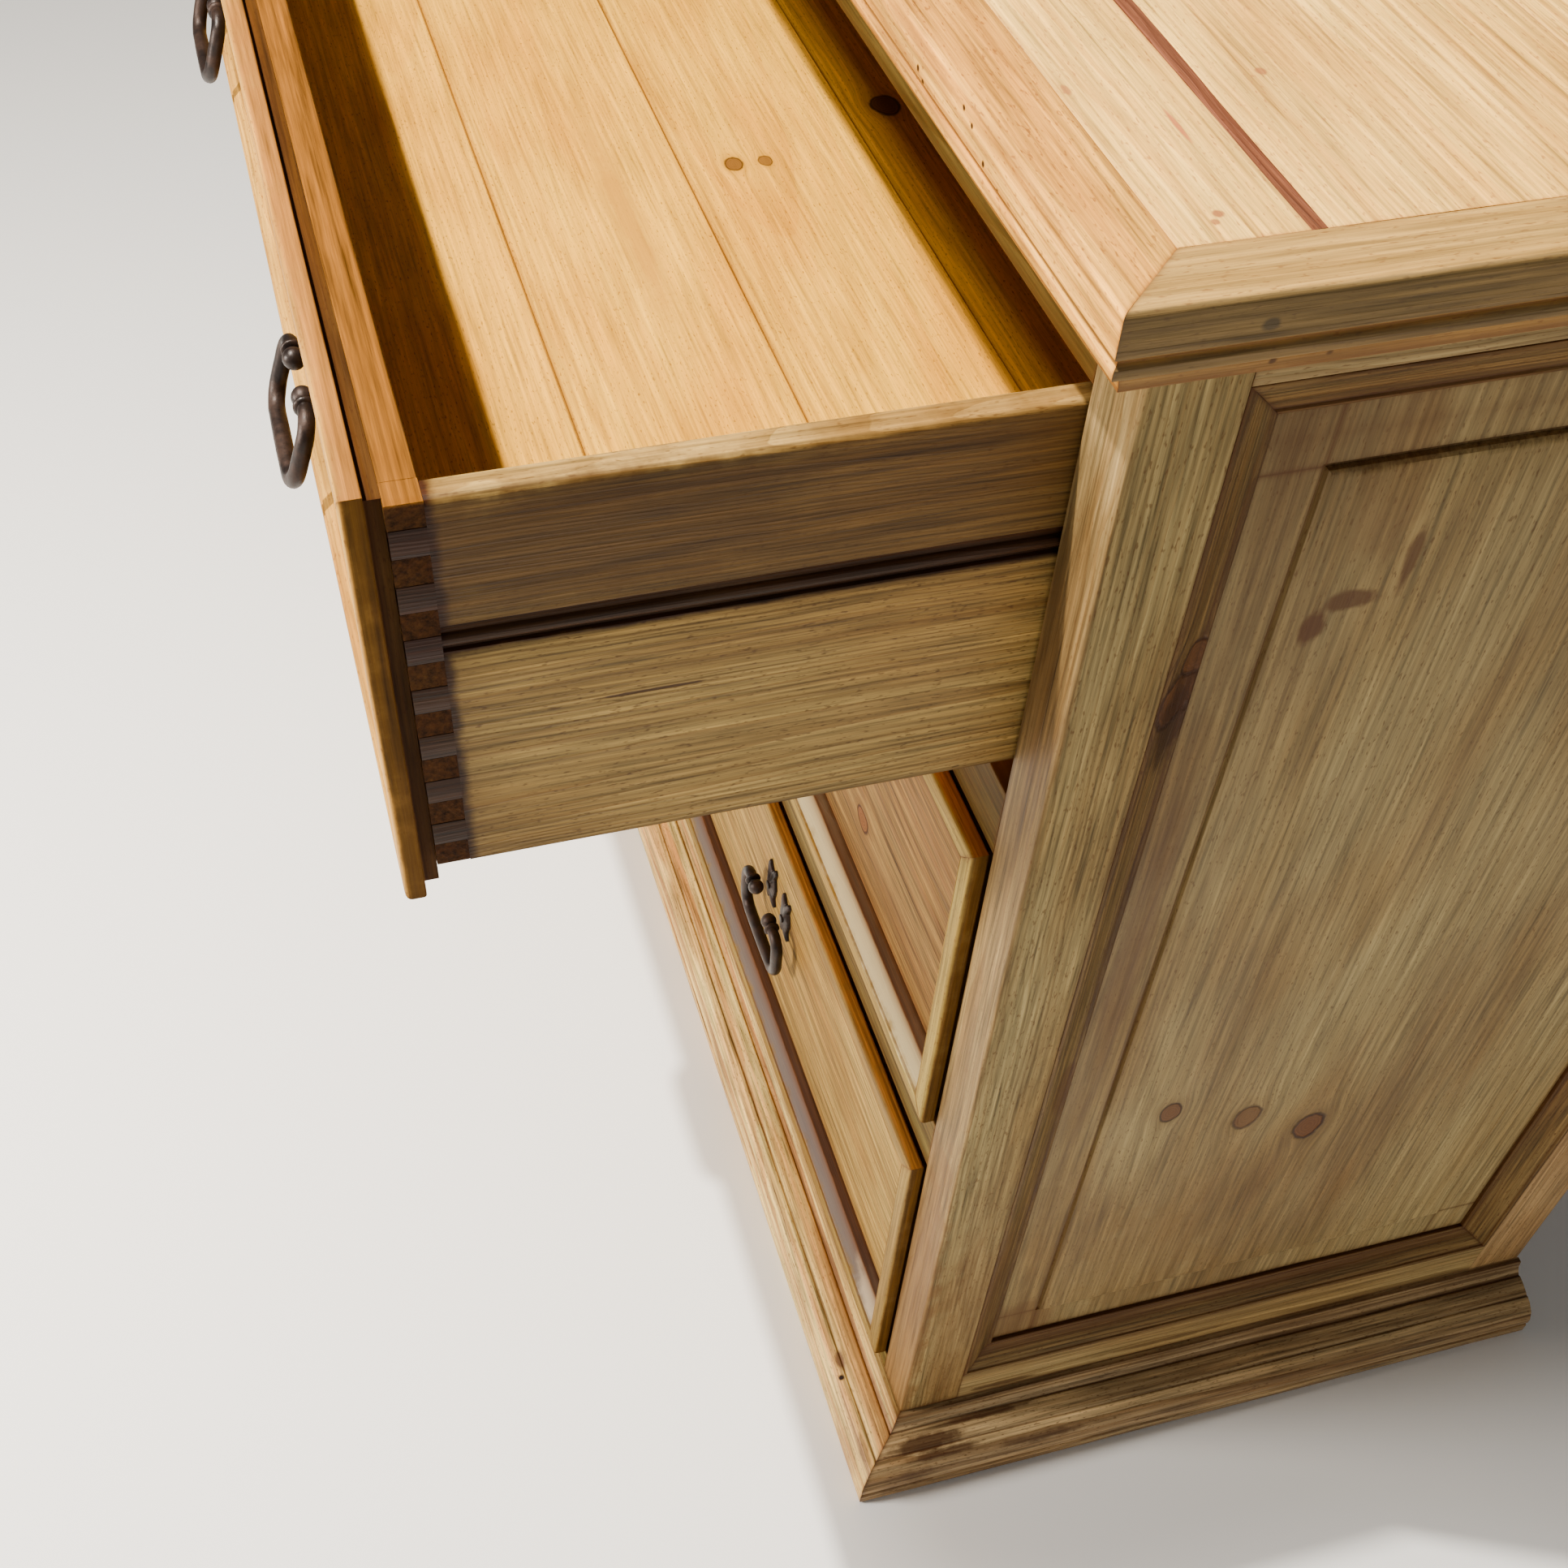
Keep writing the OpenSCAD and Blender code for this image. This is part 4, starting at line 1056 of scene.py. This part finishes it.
def drawer_face(d):
    """The mitred moulding frame on the front."""
    ledge_spots = []
    if d.ledge:
        ledge_spots.append(((0.0, STRIP + 0.007, 0.006), (9.0, 0.0095, 0.02), 0.85, d.ledge))
    if d.name == "bottom":
        ledge_spots.append(((0.5, STRIP + 0.007, 0.006), (0.05, 0.008, 0.02), 0.6, (214, 194, 160)))
    for place, origin, along, u, half in (
        ("bottom", (0, d.y, d.z0), X, Z, FACE_HALF), ("top", (0, d.y, d.z1), X, DOWN_Z, FACE_HALF),
        ("right", (FACE_HALF, d.y, d.mid), Z, BACK_X, d.half_h),
        ("left", (-FACE_HALF, d.y, d.mid), Z, X, d.half_h),
    ):
        mat = wood(
            f"{d.name}_face_{place}_pine", d.face, (166, 124, 72), ring=0.0036, contrast=0.5,
            pith=(0.005, -0.02), slope=0.01, seed=101.0 + d.seed * 5 + len(place), stain=(98, 60, 30),
            lines=[
                (ACROSS, STRIP, 0.0009, 0.9, 0.4), (ACROSS, STRIP + LEDGE, 0.0018, 0.9, 0.4),
                (THROUGH, 0.0058, 0.0026, 1.0, 0.2), (ACROSS, 0.0, 0.0012, 0.35, 0.9),
                (RISING, half * MITRE, 0.0009, 0.7), (FALLING, -half * MITRE, 0.0009, 0.7),
            ],
            bands=[
                # painted light and shade: the lip's outer edge is lighter on the top piece, which faces up,
                # and darker on the other pieces
                (ACROSS, -1.0, 0.0004, 0.0006, 0.92, (146, 96, 44) if place == "top" else (92, 62, 22)),
                # painted shade in the rebate behind the lip and at the inner foot of the ledge
                (THROUGH, -1.0, 0.0061, 0.0006, 0.93, (58, 34, 16)),
            ],
            spots=ledge_spots if place == "bottom" else [], patchy=0.22, rough=0.6, shine=0.05,
        )
        run = (strip_outline, origin, along, u, FORE_Y, -half, half)
        more = {"m0": 1, "m1": -1, "seed": 40 + d.seed + len(place)}
        timber(f"{d.name}_drawer_frame", f"_{place}", "pine_face", mat, *run, body=d.body, **more)


def drawer_front(d):
    """The front board with its fingers."""
    middle = d.name == "middle"
    end_grain = (FACE_HALF - 0.0035, FACE_HALF + 0.01, 0.0012, 0.94, (62, 36, 19))
    mat = wood(
        f"{d.name}_panel_pine", *d.panel, ring=0.0048 if middle else 0.0036, wave=1.8 if middle else 1.0,
        contrast=0.62, pith=(d.mid - 0.02, -0.05), slope=0.02, seed=121.0 + d.seed * 3, stain=(98, 60, 32),
        lines=[
            (ACROSS, d.z0 + STRIP + LEDGE, 0.003, 0.7), (ACROSS, d.z1 - STRIP - LEDGE, 0.003, 0.7),
            (ALONG, FACE_HALF - STRIP - LEDGE, 0.003, 0.7), (ACROSS, d.high, 0.003, 0.5),
        ],
        bands=[
            # the first band paints shade on the board's inner face; the other two darken the end grain of the
            # fingers
            (THROUGH, -1.0, 0.0015, 0.0006, 0.85, (84, 74, 52)), (ALONG, *end_grain), (BACK_X, *end_grain),
            (ACROSS, d.high - 0.0012, d.high + 0.01, 0.0008, 0.92, (116, 74, 28)),
        ],
        knots=[(0.346, 0.445, 0.007, 1.0)] if middle else [], patchy=0.35, rough=0.6, shine=0.04,
        fibrous=1.4,
    )
    axes = ((0, d.y + BOARD_T, 0), X, Z, FORE_Y)
    outline = dense(rounded(rect(d.low, d.high, 0.0, BOARD_T), [0.0004, 0.0018, 0.001, 0.0004]), 0.02)
    parts = [swept(outline, *axes, -INNER, INNER, wear=0.0002, seed=50 + d.seed)]
    for start, end in d.fingers(0):
        block = rounded(rect(start + 0.00012, end - 0.00012, 0.0, BOARD_T), 0.0004, 2)
        for t0, t1 in ((INNER, FACE_HALF - 0.0002), (-FACE_HALF + 0.0002, -INNER)):
            parts.append(swept(block, *axes, t0, t1, wear=0.0001, seg=0.01))
    piece(f"{d.name}_drawer_front", "_board", d.body, parts, mat)


def drawer_sides(d):
    """The side boards with their fingers, a bead below the upper band and a rounded top edge."""
    bead = d.low + 0.625 * (d.high - d.low)
    slot_low = d.low + SLOT_Z
    slot_top = slot_low + BOTTOM_T
    outline = dense(
        [
            (0.0, d.low), (SIDE_T, d.low), (SIDE_T, bead - 0.0022), (SIDE_T - 0.0008, bead - 0.0004),
            (SIDE_T - 0.0024, bead + 0.0004),
        ]
        + arc(SIDE_T - 0.0036, bead + 0.0048, 0.0034, -70, 70, 7)
        + [(SIDE_T - x, bead + z) for x, z in ((0.0026, 0.0094), (0.0022, 0.0112), (0.0003, 0.013))]
        + arc(SIDE_T - 0.0032, d.high - 0.0032, 0.0032, 0, 90, 5)
        + arc(0.003, d.high - 0.003, 0.003, 90, 180, 5)
        + [(0.0, slot_top), (SLOT_D, slot_top), (SLOT_D, slot_low), (0.0, slot_low)], 0.015,
    )
    for side, flip in SIDES:
        mat = wood(
            f"{d.name}_side_{side}_pine", (186, 152, 102), (116, 82, 44), ring=0.0019, wave=0.7,
            contrast=0.55, fibrous=1.3, pith=(d.low + 0.045, -0.02), slope=0.006,
            seed=141.0 + d.seed * 4 + flip, stain=(72, 44, 22),
            lines=[
                (ACROSS, bead - 0.0004, 0.0016, 0.7, 0.4), (ACROSS, d.low, 0.0016, 0.6, 0.6),
                (ALONG, d.y + 0.016, 0.01, 0.45, 0.6),
            ],
            bands=[
                (ACROSS, bead + 0.0095, d.high - 0.0015, 0.002, 0.72, (82, 56, 22)),
                (ACROSS, bead - 0.0012, bead + 0.0125, 0.001, 0.95, (50, 27, 9)),
                (ALONG, d.y - 0.01, d.y + 0.017, 0.0024, 0.97, (50, 26, 12)),
            ],
            spots=[
                ((d.y + 0.07, d.high - 0.026, 0.014), (0.1, 0.03, 0.02), 0.55, (84, 58, 32)),
                ((d.y + 0.2, d.high - 0.03, 0.014), (0.3, 0.045, 0.02), 0.3, (96, 66, 36)),
                ((d.y + 0.16, d.high - 0.01, 0.014), (0.16, 0.004, 0.02), 0.5, (70, 44, 24)),
                ((d.y + 0.095, d.low + 0.081, 0.014), (0.032, 0.001, 0.02), 0.9, (60, 34, 18)),
            ],
            patchy=0.25,
        )
        axes = ((INNER, 0, 0), Y, X, Z)
        y_front = d.y + BOARD_T
        both = {"swap": True, "mirror": flip}
        parts = [swept(outline, *axes, y_front, d.y + BOX_L, wear=0.0002, seed=60 + d.seed, **both)]
        for start, end in d.fingers(1):
            block = rounded(rect(0.0, SIDE_T, start + 0.0001, end - 0.0001), 0.0003, 2)
            parts.append(swept(block, *axes, d.y + 0.0002, y_front, wear=0.0001, seg=0.01, **both))
        piece(f"{d.name}_drawer_side_{side}", "_board", d.body, parts, mat)


def drawer_back(d):
    mat = wood(
        f"{d.name}_back_pine", (206, 164, 100), (160, 112, 60), ring=0.004, contrast=0.5,
        pith=(d.mid, -0.04), seed=161.0 + d.seed, stain=STAIN, patchy=0.3,
    )
    shape = rect(d.low + 0.016, d.high - 0.005, 0.0, 0.012)
    outline = dense(rounded(shape, [0.0003, 0.002, 0.002, 0.0003]), 0.02)
    run = (outline, (0, d.y + BOX_L, 0), X, Z, FORE_Y, -INNER, INNER)
    more = {"wear": 0.0002, "seed": 70 + d.seed}
    timber(f"{d.name}_drawer_back", "_board", "pine_drawer_side", mat, *run, body=d.body, **more)


def drawer_bottom(d):
    """Four boards with chamfered upper edges, let into the front and the sides."""
    housed, chamfer, gap = 0.0058, 0.0014, 0.0001
    half = INNER + housed
    cuts = [d.y + BOARD_T - housed, *(d.y + e for e in BOTTOM_JOINTS), d.y + BOX_L]
    shoulder = BOTTOM_T - chamfer
    for i, mat in enumerate(BOTTOM_WOODS):
        a, b = cuts[i] + gap, cuts[i + 1] - gap
        upper = [(b, shoulder), (b - chamfer, BOTTOM_T), (a + chamfer, BOTTOM_T), (a, shoulder)]
        outline = dense([(a, 0.0), (b, 0.0), *upper], 0.03)
        run = (outline, (0, 0, d.low + SLOT_Z), X, Y, Z, -half, half)
        more = {"body": d.body, "wear": 0.0001, "seed": 80 + i}
        timber(f"{d.name}_drawer_bottom", f"_{i + 1}", "pine_inside", mat, *run, **more)


def drawer_pulls(d):
    """Plates and eyes on the drawer and a loose bail in each pair of eyes."""
    eyes = []
    for sx, side in ((-1, "left"), (1, "right")):
        for e in (-1, 1):
            x = sx * d.pull_x + e * EYE_HALF
            seed = d.seed * 7 + sx * 2 + e
            eyes.append(plate_data((x, d.y, d.eye_z), seed))
            stem = [(x, d.y - 0.0015 - 0.0008 * k, d.eye_z) for k in range(6)]
            eyes.append(tube_data(stem, [0.0052, 0.0044, 0.0038, 0.0035, 0.0034, 0.0034], 16, seed))
            eyes.append(ball_data((x, d.y - EYE_OUT, d.eye_z), BALL_R, seed))
        half = bail_half()
        line = half + [((0.0, -DROP), ROD * 1.05)] + [((-x, z), r) for (x, z), r in reversed(half)]
        points = [
            (sx * d.pull_x + x, d.y - EYE_OUT + z * math.sin(d.swing), d.eye_z + z * math.cos(d.swing))
            for (x, z), _ in line
        ]
        rod = tube_data(points, [r for _, r in line], 18, d.seed * 3 + sx)
        piece(f"{d.name}_bail_{side}", "_rod", f"{d.name}_{side}_bail", [rod], IRON, IRON_SHARP)
    name = f"{d.name}_drawer_eyes"
    piece(f"{d.name}_drawer_eye_posts", "", d.body, eyes, IRON, IRON_SHARP, name)


for drawer in DRAWERS:
    for make in (drawer_face, drawer_front, drawer_sides, drawer_back, drawer_bottom, drawer_pulls):
        make(drawer)

# ---------------------------------------------------------------- floor and closing lines

FLOOR_HALF = 20
FLOOR_Z = -0.0005
corners = rect(-FLOOR_HALF, FLOOR_HALF, -FLOOR_HALF, FLOOR_HALF)
floor_mesh = bpy.data.meshes.new("floor")
floor_mesh.from_pydata([(x, y, FLOOR_Z) for x, y in corners], [], [(0, 1, 2, 3)])
floor = link(bpy.data.objects.new("floor", floor_mesh))
floor_mat, _, floor_shader = surface("floor")
floor_shader["Base Color"].default_value = (0.93, 0.93, 0.92, 1.0)
floor_shader["Roughness"].default_value = 0.85
floor_mesh.materials.append(floor_mat)
